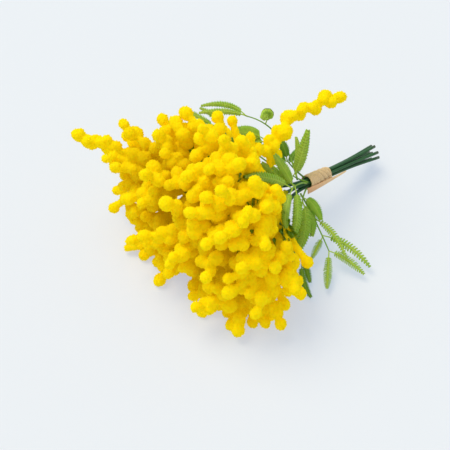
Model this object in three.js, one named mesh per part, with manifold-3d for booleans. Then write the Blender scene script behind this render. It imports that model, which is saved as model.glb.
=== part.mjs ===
// A bunch of seven mimosa sprays, tied with raffia and lying on its side.
// Millimetres, +Z up. Every rule below works from the tie's centre. The finished group is
// then moved, so that its origin lies on the surface under the middle of the bunch.
import * as THREE from "three";
import { mergeVertices } from "three/addons/utils/BufferGeometryUtils.js";
import Module from "manifold-3d";

const wasm = await Module();
wasm.setup();

// Pose: the bunch climbs from its cut ends to its head, and the surface is below the tie.
const AXIS_RISE = 17;
const TIE_HEIGHT = 38;
const GAP = 0.3; // between neighbouring pieces
// What would sink eases off above the surface: how far above it, and over what height.
const AXIS_LIFT = { clear: 9, soft: 10 };
const RACEME_LIFT = { clear: 7, soft: 10 };
const TIP_LIFT = { clear: 3, soft: 6 };

// Stems: plastic-covered wires, one to a spray, packed six round one in the tie.
const STEM_DIAMETER = 2.8;
const STEM_SIDES = 6;
const STEM_STEPS = 12;
const STEM_BELOW_TIE = 80;
const STEM_BELOW_TIE_VARIATION = 4;
const STEM_ENDS_RADIUS = 6.6;
const STEM_WIDENS = { at: 0.55, share: 0.2 }; // of its length below the tie, of the widening
const STEM_LEAD = 3; // straight, before and behind the tie
const STEM_JOIN = 0.3; // of the neck, straight into the flowers' axis
const NECK = 45; // from the tie to where the flowers' own axis takes over

// Tie: a band of raffia wound round the stems, and its loose end along the band.
const BAND_LENGTH = 27;
const BAND_BORE_RADIUS = 4.9;
const BAND_THICKNESS = 1.05;
const BAND_TURNS = 4;
const BAND_TURN_RELIEF = 0.25;
const BAND_SIDES = 16;
const BAND_FLARE = 0.8; // of both its radii, at the end towards the head
const TAIL_THICKNESS = 0.8;
const TAIL_ROLL = 180;
const TAIL_TURN = -26; // degrees, by which one edge stands off the band
// The loose end: where its inner face is, from the bunch's axis, and its width.
const TAIL_STATIONS = [
  { at: 21, inner: 7.4, width: 5.6 },
  { at: 10, inner: 7.3, width: 5.0 },
  { at: -10, inner: 6.8, width: 3.2 },
  { at: -33, inner: 5.6, width: 1.4 },
];
const TAIL_STEPS = 9;

// Head: how far it reaches from the tie, and how wide it opens, at every 45 degrees of
// roll about the bunch's axis, from the side of +Y by way of the top.
const ROLL_STEP = 45;
const REACH_MIDDLE = 166;
const REACH_KEEPS = 1.5; // the power of the spread, by which the middle's reach gives way to the rim's
const REACH_RIM = [200, 130, 140, 132, 116, 156, 160, 184];
const SPREAD_RIM = [43, 42, 29, 28, 39, 44, 42, 43];
const NEAREST_FLOWER = 80;

// Sprays: place in the tie, share of the rim's spread, and roll. The first is in the middle.
const SPRAYS = [
  { name: "middle", slot: null, share: 0.12, roll: 270 },
  { name: "left", slot: 18, share: 0.7, roll: 0 },
  { name: "top_left", slot: 78, share: 0.66, roll: 58 },
  { name: "top_right", slot: 138, share: 0.62, roll: 128 },
  { name: "right", slot: 198, share: 0.72, roll: 188 },
  { name: "low_right", slot: 258, share: 0.7, roll: 238 },
  { name: "low_left", slot: 318, share: 0.7, roll: 302 },
];
const NECK_SPREAD = 0.4; // of a spray's spread, where the stem ends
const NECK_TURN = 0.6; // of its direction
const MAIN_AXIS_SHORT_OF_RIM = 42;
const MAIN_AXIS_STRAIGHT = 0.45; // of its length, before it bends
const MAIN_AXIS_RADIUS = 2.0;
const MAIN_AXIS_SIDES = 4;
const MAIN_AXIS_STEPS = 4;
// Where the head is dense, a spray has a core round its main axis, which its balls stand out of:
// its radius at places along the axis, as a share of the distance from the tie.
const CORE_STATIONS = [
  { place: 0.3, share: 0.03 },
  { place: 0.55, share: 0.1 },
  { place: 0.85, share: 0.1 },
  { place: 1.1, share: 0.05 },
];
const CORE_SIDES = 6;
const CORE_ABOVE_SURFACE = 9;
const CORE_APART = 3; // between the cores of two sprays

// Racemes: they end on rings over the head, given as shares of its reach and spread.
const RINGS = [
  { reach: 1.0, spread: 0.3, count: 6 },
  { reach: 1.0, spread: 0.52, count: 10 },
  { reach: 1.0, spread: 0.78, count: 14 },
  { reach: 0.98, spread: 1.0, count: 18 },
  { reach: 0.84, spread: 1.02, count: 15 },
  { reach: 0.7, spread: 1.0, count: 14 },
  { reach: 0.62, spread: 0.7, count: 6 },
];
const RING_SPREAD_VARIATION = 0.05;
const RING_REACH_VARIATION = 0.04;
const RACEME_LENGTH = 52;
const RACEME_FEET = { from: 0.05, to: 0.97 }; // along the main axis
const FOOT_SHIFTS = [0, 0.15, -0.15, 0.3, -0.3, 0.45, -0.45];
const RACEME_BULGE = 0.12; // of its length, forward at its middle
const RING_ROLL_VARIATION = 70; // degrees, shared among a ring's racemes
const RACEME_AXIS_RADIUS = 1.6;
const RACEME_FOOT_RADIUS = 0.7; // inside the axis that it grows from
const RACEME_BARE = 7; // the length at its foot that carries no balls
const RACEME_SPAN = 20; // between the rings of a long bare stretch
// Two racemes reach out of the head: the left one, and one that is thrown back over the tie.
const LEFT_FOOT = 0.8; // along the left main axis
const LEFT_TIP = { spread: 40, roll: 2, reach: 214 };
const LEFT_ARCH = 3;
const THROWN_BACK_FOOT = 0.2; // along the top left main axis
const THROWN_BACK_VIA = [-38, 43, 73];
const THROWN_BACK_TIP = [32, 14, 72];

// Flower balls: large low on a raceme and small at its tip, each sunk into the axis.
const BALL_RADIUS_LOW = 6.7;
const BALL_RADIUS_TIP = 4.9;
const BALL_RADIUS_VARIATION = 0.75;
const BALL_STEP = 12; // along the axis
const BALL_OFFSET = 0.8; // of its radius, from the axis to its centre
const BALL_TURN_VARIATION = 0.3;
const BALL_SIDES = 5;
const BALL_RINGS_AT = 0.45; // of its radius, before and after its centre
const BALL_RINGS_RADIUS = 0.97; // of its radius
const BALL_END_RADIUS = 0.3; // of the last ball's radius, where a raceme ends
const BALL_REST = 0.8; // of its radius, at which a ball lies, pressed a little flat
const CORE_CLEAR = 0.9; // of its radius, from a core to the centre of a ball of the same spray
const BALL_CROWDING = 0.95; // of the radii, within which a ball of another raceme is left out

// Leaves: moulded, twice pinnate, each on the neck of one stem. It starts at a distance
// from the tie, on one side of the stem. Its rachis and its pinnae each bend by way of one
// point to another, given from the tie's centre, and a pinna's foot is a place on the rachis.
const RACHIS_RADIUS = 0.85;
const RACHIS_SIDES = 3;
const RACHIS_STEPS = 3;
const PINNA_BARE = 0.15;
const BLADE_THICKNESS = 0.7;
const BLADE_TEETH = 4;
const BLADE_NOTCH = 0.42;
const BLADE_FOOT = 0.36;
const BLADE_ARCH = 0.05;
const BLADE_TIP_NOTCH = 0.8; // the least half width between two teeth
const BLADE_TIP = 0.95; // where along the blade the last tooth ends
const TOOTH_POINT = 0.86; // where along a tooth its point is
// The blade's outline: a sine from near 0 to near half a turn, drawn forward and made fuller.
const OUTLINE = { start: 0.08, run: 0.88, forward: 0.85, fullness: 0.5 };
const LEAF_FACE = [-0.37, -0.44, 0.82]; // the way that the blades look
// Nothing grows over an open leaf: spots are kept free at these places along each pinna and at
// these heights over it, but for those that are within the room of what is there already.
const OPEN_PLACES = [0.1, 0.4, 0.7, 1];
const OPEN_HEIGHTS = [9, 20, 32];
const OPEN_RADIUS = 6;
const OPEN_ROOM = 6;
const LEAVES = [
  {
    name: "star", stem: "top_right", from: 20, side: 118,
    via: [-29, -7.4, 26.9], to: [-41.9, -8.7, 27.8], isOpen: true,
    wanted: [
      { place: 0.96, via: [-56.1, 2.3, 49.3], to: [-81.4, 6.4, 62], half: 4.6 },
      { place: 0.97, via: [-58.5, -11.1, 37.3], to: [-66.4, -3.1, 24.6], half: 3.4 },
      { place: 0.9, via: [-60.8, -19.4, 28.2], to: [-74.4, -37.9, 31.7], half: 3.9 },
      { place: 0.8, via: [-48.1, -29.9, 20.9], to: [-67.5, -39.6, 9.4], half: 4.5 },
      { place: 0.86, via: [-39.3, 1.5, 40.5], to: [-41.6, 13.8, 52.1], half: 4.7 },
      { place: 0.76, via: [-45.6, 5.4, 33.6], to: [-50.9, 19.3, 43.6], half: 4.4 },
    ],
  },
  {
    name: "upright", stem: "top_right", from: 17, side: 105,
    via: [-21.9, 0.4, 14.8], to: [-25.6, 5.7, 18.4], isOpen: true,
    wanted: [
      { place: 0.98, via: [-12.9, 9.7, 23.8], to: [6.6, 23.4, 39.9], half: 5.6 },
      { place: 0.8, via: [-8.2, 14.5, 21.2], to: [-0.8, 29.9, 30.3], half: 3.2 },
    ],
  },
  {
    name: "down", stem: "right", from: 20, side: 160,
    via: [-25.6, -9.3, 10.3], to: [-32, -14.2, 4.8], isOpen: true,
    wanted: [
      { place: 0.75, via: [-22.4, -20.4, 5.8], to: [-26.2, -33.5, -5.4], half: 4.4 },
      { place: 0.9, via: [-36.6, -31.6, -4.1], to: [-58.9, -40.2, -15.1], half: 5.4 },
      { place: 1, via: [-46.8, -26.8, -12.2], to: [-67.8, -39, -22.1], half: 4.8 },
      { place: 1, via: [-26.1, -25.7, -4.8], to: [-38.4, -36.1, -15.9], half: 4.4 },
    ],
  },
  {
    name: "fold", stem: "top_left", from: 33, side: 66,
    via: [-22.4, 26.9, 26.3], to: [-27.1, 43.3, 35.4], isOpen: true,
    wanted: [
      { place: 1, via: [-34.6, 53.7, 43.7], to: [-47.6, 62.6, 41.5], half: 5.6 },
      { place: 0.92, via: [-37, 47.9, 34.7], to: [-49.6, 54.8, 33.9], half: 5.2 },
      { place: 0.85, via: [-29.1, 37.7, 24.2], to: [-36.8, 47.7, 23.7], half: 4.4 },
    ],
  },
  {
    name: "top", stem: "left", from: 22, side: 50,
    via: [7.6, 54.3, 20.3], to: [-20.5, 75.1, 33.5], isOpen: true,
    wanted: [
      { place: 1, via: [-22.8, 93.3, 42.2], to: [-45.9, 107.8, 37.2], half: 4.3 },
      { place: 0.97, via: [-32.2, 89, 40.6], to: [-52.6, 102.3, 37.3], half: 4.3 },
      { place: 0.72, via: [-1.7, 61.7, 43.3], to: [-16, 58.8, 40.2], half: 4.6 },
    ],
  },
  {
    name: "right", stem: "right", from: 28, side: 205,
    via: [-24.6, -22.1, -10], to: [-35.7, -55.5, -20], isOpen: true,
    wanted: [
      { place: 0.5, via: [-22, -47.2, -8], to: [-29.2, -70, -19], half: 3.6 },
      { place: 0.78, via: [-13, -57.6, -22], to: [-14.5, -86.7, -30], half: 4.3 },
      { place: 1, via: [-25.8, -67.2, -24], to: [-23.1, -88.1, -31], half: 4.3 },
      { place: 1, via: [-46.9, -66.8, -26], to: [-57.8, -77.6, -31], half: 4.3 },
      { place: 0.8, via: [-38.4, -44.6, -22], to: [-49.1, -48.7, -26], half: 3.6 },
    ],
  },
  {
    name: "under", stem: "top_left", from: 40, side: 118,
    via: [-33.9, 10.8, 17.4], to: [-39.7, 17.7, 20.9], isOpen: false,
    wanted: [
      { place: 1, via: [-47.8, 28.6, 26.8], to: [-61.2, 38.3, 29.6], half: 5.2 },
      { place: 0.8, via: [-46.4, 23.1, 18.4], to: [-59, 29.9, 16.4], half: 4.2 },
    ],
  },
  {
    name: "back", stem: "top_left", from: 16, side: 50,
    via: [-14.3, 18.4, 8.3], to: [-14.5, 25.3, 13.2], isOpen: false,
    wanted: [
      { place: 1, via: [-12.8, 29.3, 22.2], to: [-12.2, 38.4, 28.5], half: 4.4 },
      { place: 0.8, via: [-8.2, 25.3, 11.1], to: [0.9, 28.8, 13.4], half: 3 },
      { place: 0.9, via: [-21.1, 27.6, 16.3], to: [-19.3, 36.6, 21.9], half: 3.6 },
    ],
  },
  {
    name: "low", stem: "low_right", from: 26, side: 228,
    via: [-34.8, -16.4, -13], to: [-59.1, -46.6, -25], isOpen: false,
    wanted: [
      { place: 0.88, via: [-59.2, -52.1, -28], to: [-64, -62.9, -33], half: 4 },
      { place: 1, via: [-72.5, -58.9, -29], to: [-73.2, -74.1, -34], half: 4 },
      { place: 0.8, via: [-63.5, -41.2, -27], to: [-74.4, -48.3, -32], half: 4 },
    ],
  },
  {
    name: "far", stem: "left", from: 26, side: 20,
    via: [-25.7, 46.1, 8.2], to: [-44.9, 89.4, 25.3], isOpen: false,
    wanted: [
      { place: 1, via: [-50.5, 100.9, 28.9], to: [-57.5, 116.4, 34.1], half: 3.8 },
      { place: 0.9, via: [-35.8, 96, 28], to: [-44.2, 111.5, 30.2], half: 3.8 },
      { place: 0.94, via: [-53.7, 91.4, 27.3], to: [-60.4, 102.9, 31.7], half: 3.6 },
    ],
  },
];

const FLOWER_YELLOW = 0xf6d404;
const LEAF_GREEN = 0x7fa83a;
const STEM_GREEN = 0x2f5a35;
const RAFFIA_TAN = 0xd2ab74;

// Seeds of the draws, and the draw's own numbers.
const RACEME_SEED = 17;
const BALL_SEED = 16;
const DRAW_FACTOR = 1664525;
const DRAW_STEP = 1013904223;
const DRAW_RANGE = 4294967296;

const FULL_TURN = 2 * Math.PI;
const GOLDEN_TURN = Math.PI * (3 - Math.sqrt(5));
const SURFACE = -TIE_HEIGHT;
const STEEP = 0.9; // the upward part of a direction that is too near to upright to guide by it
const LINE_STEPS = 12; // on the lines that stand for pieces where room is looked for
const radians = THREE.MathUtils.degToRad;
const rise = radians(AXIS_RISE);
const along = new THREE.Vector3(-Math.cos(rise), 0, Math.sin(rise));
const sideways = new THREE.Vector3(0, 1, 0);
const upright = new THREE.Vector3(Math.sin(rise), 0, Math.cos(rise));

// ---------------------------------------------------------------- draws and directions

class Draw {
  constructor(seed) {
    this.state = seed;
  }

  next() {
    this.state = (Math.imul(this.state, DRAW_FACTOR) + DRAW_STEP) >>> 0;
    return this.state / DRAW_RANGE;
  }

  about(centre, half) {
    return centre + (2 * this.next() - 1) * half;
  }
}

const plus = (a, b, factor = 1) => a.clone().addScaledVector(b, factor);
const mixed = (a, b, share) => a.clone().lerp(b, share);

// Two directions turned into one: an angle away from the first, towards the second.
function turned(first, second, angle) {
  return plus(first.clone().multiplyScalar(Math.cos(angle)), second, Math.sin(angle));
}

// Square to the bunch's axis, at a roll about it.
const outward = (roll) => turned(sideways, upright, radians(roll));

// Away from the bunch's axis by a spread, at a roll about it.
const heading = (spread, roll) => turned(along, outward(roll), radians(spread));

// A value between the neighbouring entries of a table that goes round the axis.
function roundTable(table, roll) {
  const place = (((roll % 360) + 360) % 360) / ROLL_STEP;
  const entry = Math.floor(place) % table.length;
  const part = place - Math.floor(place);
  const share = THREE.MathUtils.smoothstep(part, 0, 1);
  return THREE.MathUtils.lerp(table[entry], table[(entry + 1) % table.length], share);
}

// A point of the head's skin, or inside it at a share of its reach.
function skinPoint(spreadShare, roll, reachShare = 1) {
  const towardsRim = Math.pow(Math.min(1, spreadShare), REACH_KEEPS);
  const reach = THREE.MathUtils.lerp(REACH_MIDDLE, roundTable(REACH_RIM, roll), towardsRim);
  return heading(spreadShare * roundTable(SPREAD_RIM, roll), roll).multiplyScalar(reachShare * reach);
}

// Whatever would sink towards the surface eases off above it.
function lifted(point, { clear, soft }) {
  const low = SURFACE + clear;
  if (point.z >= low + soft) return point;
  return new THREE.Vector3(point.x, point.y, low + soft * Math.exp((point.z - low - soft) / soft));
}

// The unit direction of a quadratic curve at a place from 0 to 1.
function tangentOf(curve, place) {
  const first = curve.v1.clone().sub(curve.v0).multiplyScalar(1 - place);
  const second = curve.v2.clone().sub(curve.v1).multiplyScalar(place);
  return first.add(second).normalize();
}

// A point of a curve, also a little past its ends, at a distance along it from its foot.
function pointAt(curve, distance) {
  const length = curve.getLength();
  const place = THREE.MathUtils.clamp(distance / length, 0, 1);
  return plus(curve.getPointAt(place), curve.getTangentAt(place), distance - place * length);
}

function directionAt(curve, distance) {
  return curve.getTangentAt(THREE.MathUtils.clamp(distance / curve.getLength(), 0, 1));
}

// Square to a direction and as near as can be to a guide.
function squareTo(direction, guide) {
  return plus(guide, direction, -guide.dot(direction)).normalize();
}

// ---------------------------------------------------------------- room between pieces

// What is in place already: lines and spots, each with a radius and the piece that owns it.
// A stem and the spray that it carries count as one owner.
const lines = [];
const spots = [];

function segmentDistance(point, start, end) {
  const run = end.clone().sub(start);
  const share = point.clone().sub(start).dot(run) / run.lengthSq();
  return plus(start, run, THREE.MathUtils.clamp(share, 0, 1)).distanceTo(point);
}

function lineDistance(point, line) {
  let nearest = Infinity;
  for (let index = 1; index < line.points.length; index += 1) {
    nearest = Math.min(nearest, segmentDistance(point, line.points[index - 1], line.points[index]));
  }
  return nearest;
}

function isClear(owner, points, radius, room) {
  const others = lines.filter((line) => line.owner !== owner);
  const strangers = spots.filter((spot) => spot.owner !== owner);
  return points.every(
    (point) =>
      others.every((line) => lineDistance(point, line) >= radius + line.radius + room) &&
      strangers.every((spot) => spot.centre.distanceTo(point) >= radius + spot.radius + room),
  );
}

// ---------------------------------------------------------------- layout of stems and axes

function stemCurve(spray, length) {
  const slot = spray.slot === null ? new THREE.Vector3() : outward(spray.slot);
  const inTie = slot.clone().multiplyScalar(STEM_DIAMETER + GAP);
  const atEnds = slot.clone().multiplyScalar(STEM_ENDS_RADIUS);
  const half = BAND_LENGTH / 2;
  return new THREE.CatmullRomCurve3([
    plus(atEnds, along, -length),
    plus(mixed(inTie, atEnds, STEM_WIDENS.share), along, -STEM_WIDENS.at * length),
    plus(inTie, along, -half - STEM_LEAD),
    plus(inTie, along, -half / 2),
    plus(inTie, along, half / 2),
    plus(inTie, along, half + STEM_LEAD),
    plus(spray.base, spray.start, -STEM_JOIN * NECK),
    plus(spray.base, spray.start, -GAP),
  ]);
}

const stemDraw = new Draw(RACEME_SEED);
for (const spray of SPRAYS) {
  const rim = skinPoint(spray.share, spray.roll);
  spray.towards = rim.clone().normalize();
  spray.base = skinPoint(NECK_SPREAD * spray.share, spray.roll).setLength(NECK);
  spray.start = mixed(along, spray.towards, NECK_TURN).normalize();
  const tip = lifted(rim.clone().setLength(rim.length() - MAIN_AXIS_SHORT_OF_RIM), AXIS_LIFT);
  const straight = MAIN_AXIS_STRAIGHT * tip.distanceTo(spray.base);
  const via = lifted(plus(spray.base, spray.start, straight), AXIS_LIFT);
  spray.axis = new THREE.QuadraticBezierCurve3(spray.base, via, tip);
  spray.stem = stemCurve(spray, stemDraw.about(STEM_BELOW_TIE, STEM_BELOW_TIE_VARIATION));
  const stemPoints = spray.stem.getPoints(2 * LINE_STEPS);
  spray.stemLine = { owner: spray.name, points: stemPoints, radius: STEM_DIAMETER / 2 };
  spray.racemes = [];
  lines.push(spray.stemLine);
  spray.axisLine = { owner: spray.name, points: spray.axis.getPoints(LINE_STEPS), radius: MAIN_AXIS_RADIUS };
  lines.push(spray.axisLine);
}
const [, leftSpray, topLeftSpray] = SPRAYS;

// A core is as wide as its stations say, or as wide as leaves room for the next spray's core.
function coreRing({ place, share }, spray) {
  const inside = Math.min(place, 1);
  const direction = tangentOf(spray.axis, inside);
  const beyond = (place - inside) * spray.axis.getLength();
  const centre = plus(spray.axis.getPoint(inside), direction, beyond);
  const others = SPRAYS.filter((other) => other !== spray);
  const nearest = Math.min(...others.map((other) => lineDistance(centre, other.axisLine)));
  const room = Math.min((nearest - CORE_APART) / 2, centre.z - SURFACE - CORE_ABOVE_SURFACE);
  const radius = Math.max(MAIN_AXIS_RADIUS / 2, Math.min(share * centre.length(), room));
  return { centre, direction, first: squareTo(direction, upright), radius, isTurned: true };
}

for (const spray of SPRAYS) {
  spray.core = CORE_STATIONS.map((station) => coreRing(station, spray));
  for (let index = 1; index < spray.core.length; index += 1) {
    for (const share of [0, 0.33, 0.67]) {
      const [from, to] = [spray.core[index - 1], spray.core[index]];
      const centre = mixed(from.centre, to.centre, share);
      const radius = THREE.MathUtils.lerp(from.radius, to.radius, share);
      spots.push({ owner: spray.name, centre, radius, isCore: true });
    }
  }
}

function addRaceme(spray, curve, turn) {
  const line = { owner: spray.name, points: curve.getPoints(LINE_STEPS), radius: RACEME_AXIS_RADIUS };
  spray.racemes.push({ curve, length: curve.getLength(), turn, line, balls: [] });
  lines.push(line);
}

function addStrayRacemes() {
  const foot = leftSpray.axis.getPoint(LEFT_FOOT);
  const tip = heading(LEFT_TIP.spread, LEFT_TIP.roll).multiplyScalar(LEFT_TIP.reach);
  const via = mixed(foot, tip, 0.5).add(new THREE.Vector3(0, 0, LEFT_ARCH));
  addRaceme(leftSpray, new THREE.QuadraticBezierCurve3(foot, via, tip), 1);
  const backFoot = topLeftSpray.axis.getPoint(THROWN_BACK_FOOT);
  const backVia = new THREE.Vector3(...THROWN_BACK_VIA);
  const backTip = new THREE.Vector3(...THROWN_BACK_TIP);
  addRaceme(topLeftSpray, new THREE.QuadraticBezierCurve3(backFoot, backVia, backTip), 0.5);
  topLeftSpray.racemes[0].thrownBack = true;
}
addStrayRacemes();

// ---------------------------------------------------------------- layout of the leaves

const STEM_SEARCH_STEPS = 90;
const SPOT_RADIUS = 0.9;
const SPOTS_ALONG = 12;
const SPOTS_ACROSS = [-0.8, -0.4, 0, 0.4, 0.8];
const PINNA_TILTS = [0, 8, -8, 16, -16, 26, -26];
const leafFace = new THREE.Vector3(...LEAF_FACE).normalize();

// Half the width of a pinna's blade: bare at first, widest near the middle, round at the tip.
function bladeHalfWidth(pinna, place) {
  if (place <= PINNA_BARE) return 0;
  const run = (place - PINNA_BARE) / (1 - PINNA_BARE);
  const phase = Math.pow(OUTLINE.start + OUTLINE.run * run, OUTLINE.forward);
  return pinna.half * Math.pow(Math.sin(Math.PI * phase), OUTLINE.fullness);
}

function pinnaSpots(pinna, owner) {
  const made = [];
  for (let step = 1; step <= SPOTS_ALONG; step += 1) {
    const place = step / SPOTS_ALONG;
    const middle = pinna.curve.getPoint(place);
    const across = tangentOf(pinna.curve, place).cross(leafFace).normalize();
    for (const share of SPOTS_ACROSS) {
      const centre = plus(middle, across, share * bladeHalfWidth(pinna, place));
      made.push({ owner, centre, radius: SPOT_RADIUS });
    }
  }
  return made;
}

// One pinna, turned about the rachis by a tilt.
function pinnaAt(rachis, { place, via, to, half }, tilt) {
  const foot = rachis.getPoint(place);
  const forward = tangentOf(rachis, place);
  const tilted = (point) => {
    const offset = new THREE.Vector3(...point).sub(foot);
    return offset.applyAxisAngle(forward, tilt).add(foot);
  };
  return { curve: new THREE.QuadraticBezierCurve3(foot, tilted(via), tilted(to)), half };
}

// The point of a stem at a distance from the tie, measured along the bunch's axis.
function stemPointAt(stem, distance) {
  let nearest = stem.getPoint(1);
  for (const point of stem.getPoints(STEM_SEARCH_STEPS)) {
    if (Math.abs(point.dot(along) - distance) < Math.abs(nearest.dot(along) - distance)) nearest = point;
  }
  return nearest;
}

function layRachis(leaf) {
  const { stem } = SPRAYS.find((spray) => spray.name === leaf.stem);
  const side = outward(leaf.side);
  const foot = plus(stemPointAt(stem, leaf.from), side, STEM_DIAMETER / 2 + GAP + RACHIS_RADIUS);
  const [via, tip] = [leaf.via, leaf.to].map((point) => new THREE.Vector3(...point));
  leaf.owner = "leaf_" + leaf.name;
  leaf.rachis = new THREE.QuadraticBezierCurve3(foot, via, tip);
  leaf.pinnae = [];
  lines.push({ owner: leaf.owner, points: leaf.rachis.getPoints(LINE_STEPS), radius: RACHIS_RADIUS });
}

// A pinna is turned about the rachis until it is clear of everything else, or left out.
function layPinna(leaf, wanted) {
  for (const tilt of PINNA_TILTS) {
    const pinna = pinnaAt(leaf.rachis, wanted, radians(tilt));
    const made = pinnaSpots(pinna, leaf.owner);
    const points = made.map((spot) => spot.centre);
    if (isClear(leaf.owner, points, SPOT_RADIUS, GAP)) {
      leaf.pinnae.push(pinna);
      spots.push(...made);
      return;
    }
  }
}

LEAVES.forEach(layRachis);
for (const leaf of LEAVES) leaf.wanted.forEach((wanted) => layPinna(leaf, wanted));
for (const leaf of LEAVES.filter(({ isOpen }) => isOpen)) {
  for (const { curve } of leaf.pinnae) {
    for (const place of OPEN_PLACES) {
      for (const height of OPEN_HEIGHTS) {
        const centre = plus(curve.getPoint(place), leafFace, height);
        if (isClear(leaf.owner, [centre], OPEN_RADIUS, OPEN_ROOM)) {
          spots.push({ owner: leaf.owner, centre, radius: OPEN_RADIUS });
        }
      }
    }
  }
}

// ---------------------------------------------------------------- layout of the racemes

function nearestSpray(direction) {
  return SPRAYS.reduce((best, spray) => {
    return direction.dot(spray.towards) > direction.dot(best.towards) ? spray : best;
  });
}

// A raceme leaves the main axis near the wanted place, from where its way to the tip is clear.
function racemeCurve(spray, wanted, tip) {
  for (const shift of FOOT_SHIFTS) {
    const place = THREE.MathUtils.clamp(wanted + shift, RACEME_FEET.from, RACEME_FEET.to);
    const foot = spray.axis.getPoint(place);
    const bulge = RACEME_BULGE * tip.distanceTo(foot);
    const via = lifted(plus(mixed(foot, tip, 0.5), tangentOf(spray.axis, place), bulge), RACEME_LIFT);
    const curve = new THREE.QuadraticBezierCurve3(foot, via, tip);
    if (isClear(spray.name, curve.getPoints(LINE_STEPS), RACEME_AXIS_RADIUS, 2 * GAP)) return curve;
  }
  return null;
}

// A spray's racemes leave its axis in turn, the furthest last, and one goes on from its end.
function layRacemes(spray, tips) {
  tips.sort((one, other) => one.point.length() - other.point.length());
  tips.forEach(({ point, turn }, index) => {
    const even = THREE.MathUtils.lerp(RACEME_FEET.from, RACEME_FEET.to, (index + 0.5) / tips.length);
    const wanted = (point.length() - RACEME_LENGTH - NECK) / (spray.axis.v2.length() - NECK);
    const curve = racemeCurve(spray, (even + wanted) / 2, point);
    if (curve) addRaceme(spray, curve, turn);
  });
  const end = spray.axis.v2;
  const leader = lifted(plus(end, tangentOf(spray.axis, 1), MAIN_AXIS_SHORT_OF_RIM), TIP_LIFT);
  addRaceme(spray, new THREE.QuadraticBezierCurve3(end, mixed(end, leader, 0.5), leader), spray.roll);
}

const racemeDraw = new Draw(RACEME_SEED);
const tipsOf = new Map(SPRAYS.map((spray) => [spray, []]));
for (const ring of RINGS) {
  const phase = 360 * racemeDraw.next();
  for (let index = 0; index < ring.count; index += 1) {
    const spread = racemeDraw.about(ring.spread, RING_SPREAD_VARIATION);
    const roll = phase + (360 * index) / ring.count + racemeDraw.about(0, RING_ROLL_VARIATION / ring.count);
    const reach = racemeDraw.about(ring.reach, RING_REACH_VARIATION);
    const turn = FULL_TURN * racemeDraw.next();
    const point = lifted(skinPoint(spread, roll, reach), TIP_LIFT);
    tipsOf.get(nearestSpray(point.clone().normalize())).push({ point, turn });
  }
}
for (const [spray, tips] of tipsOf) layRacemes(spray, tips);

// ---------------------------------------------------------------- layout of the balls

// Each ball has its distance from the raceme's foot and its offset from the axis.
function wantedBalls(spray, raceme, draw) {
  const count = Math.max(0, Math.floor((raceme.length - RACEME_BARE) / BALL_STEP));
  const chord = raceme.curve.v2.clone().sub(raceme.curve.v0).normalize();
  const guide = squareTo(chord, Math.abs(chord.z) < STEEP ? upright : sideways);
  const made = [];
  for (let index = 0; index <= count; index += 1) {
    const distance = raceme.length - (count - index) * BALL_STEP;
    const size = THREE.MathUtils.lerp(BALL_RADIUS_LOW, BALL_RADIUS_TIP, index / Math.max(count, 1));
    const radius = draw.about(size, BALL_RADIUS_VARIATION);
    const turn = raceme.turn + index * GOLDEN_TURN + draw.about(0, BALL_TURN_VARIATION);
    const tangent = directionAt(raceme.curve, distance);
    const first = squareTo(tangent, guide);
    const out = turned(first, tangent.clone().cross(first), turn);
    const shift = index === count ? 0 : BALL_OFFSET * radius;
    const centre = plus(pointAt(raceme.curve, distance), out, shift);
    centre.z = Math.max(centre.z, SURFACE + BALL_REST * radius);
    made.push({ spray, raceme, distance, radius, centre, isTip: index === count });
  }
  return made;
}

// A ball keeps clear of other pieces, and crowds no other raceme of its own spray.
function hasRoom(ball) {
  const { spray, raceme, centre, radius } = ball;
  const tooNear = centre.length() < NEAREST_FLOWER && !raceme.thrownBack;
  if (tooNear || !isClear(spray.name, [centre], radius, 2 * GAP)) return false;
  if (lineDistance(centre, spray.stemLine) < radius + STEM_DIAMETER / 2 + GAP) return false;
  const ownCore = spots.filter((spot) => spot.isCore && spot.owner === spray.name);
  const inCore = (spot) => spot.centre.distanceTo(centre) < spot.radius + CORE_CLEAR * radius;
  if (ownCore.some(inCore)) return false;
  return spray.racemes.every((other) => {
    if (other === raceme) return true;
    if (lineDistance(centre, other.line) < BALL_CROWDING * radius + RACEME_AXIS_RADIUS) return false;
    return other.balls.every((placed) => {
      return placed.centre.distanceTo(centre) > BALL_CROWDING * (placed.radius + radius);
    });
  });
}

// The tips are placed first, so that the furthest balls stay.
const ballDraw = new Draw(BALL_SEED);
for (const spray of SPRAYS) {
  spray.wanted = spray.racemes.flatMap((raceme) => wantedBalls(spray, raceme, ballDraw));
}
const allWanted = SPRAYS.flatMap((spray) => spray.wanted);
for (const tipsOnly of [true, false]) {
  for (const ball of allWanted.filter((candidate) => candidate.isTip === tipsOnly)) {
    if (hasRoom(ball)) {
      ball.raceme.balls.push(ball);
      spots.push({ owner: ball.spray.name, centre: ball.centre, radius: ball.radius });
    }
  }
}

// ---------------------------------------------------------------- solids

const SMALLEST_EDGE = 0.1; // shorter edges that joining leaves are closed up

function solidFrom(geometry) {
  const bare = geometry.clone();
  bare.deleteAttribute("normal");
  bare.deleteAttribute("uv");
  const merged = mergeVertices(bare, 1e-4);
  return new wasm.Manifold(
    new wasm.Mesh({
      numProp: 3,
      vertProperties: merged.attributes.position.array,
      triVerts: new Uint32Array(merged.index.array),
    }),
  );
}

function meshFrom(points, faces) {
  const geometry = new THREE.BufferGeometry();
  const numbers = points.flatMap((point) => point.toArray());
  geometry.setAttribute("position", new THREE.Float32BufferAttribute(numbers, 3));
  geometry.setIndex(faces);
  return geometry;
}

function geometryFrom(solid) {
  const mesh = solid.getMesh();
  const geometry = new THREE.BufferGeometry();
  geometry.setAttribute("position", new THREE.BufferAttribute(mesh.vertProperties, 3));
  geometry.setIndex(new THREE.BufferAttribute(mesh.triVerts, 1));
  geometry.computeVertexNormals();
  return geometry;
}

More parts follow.
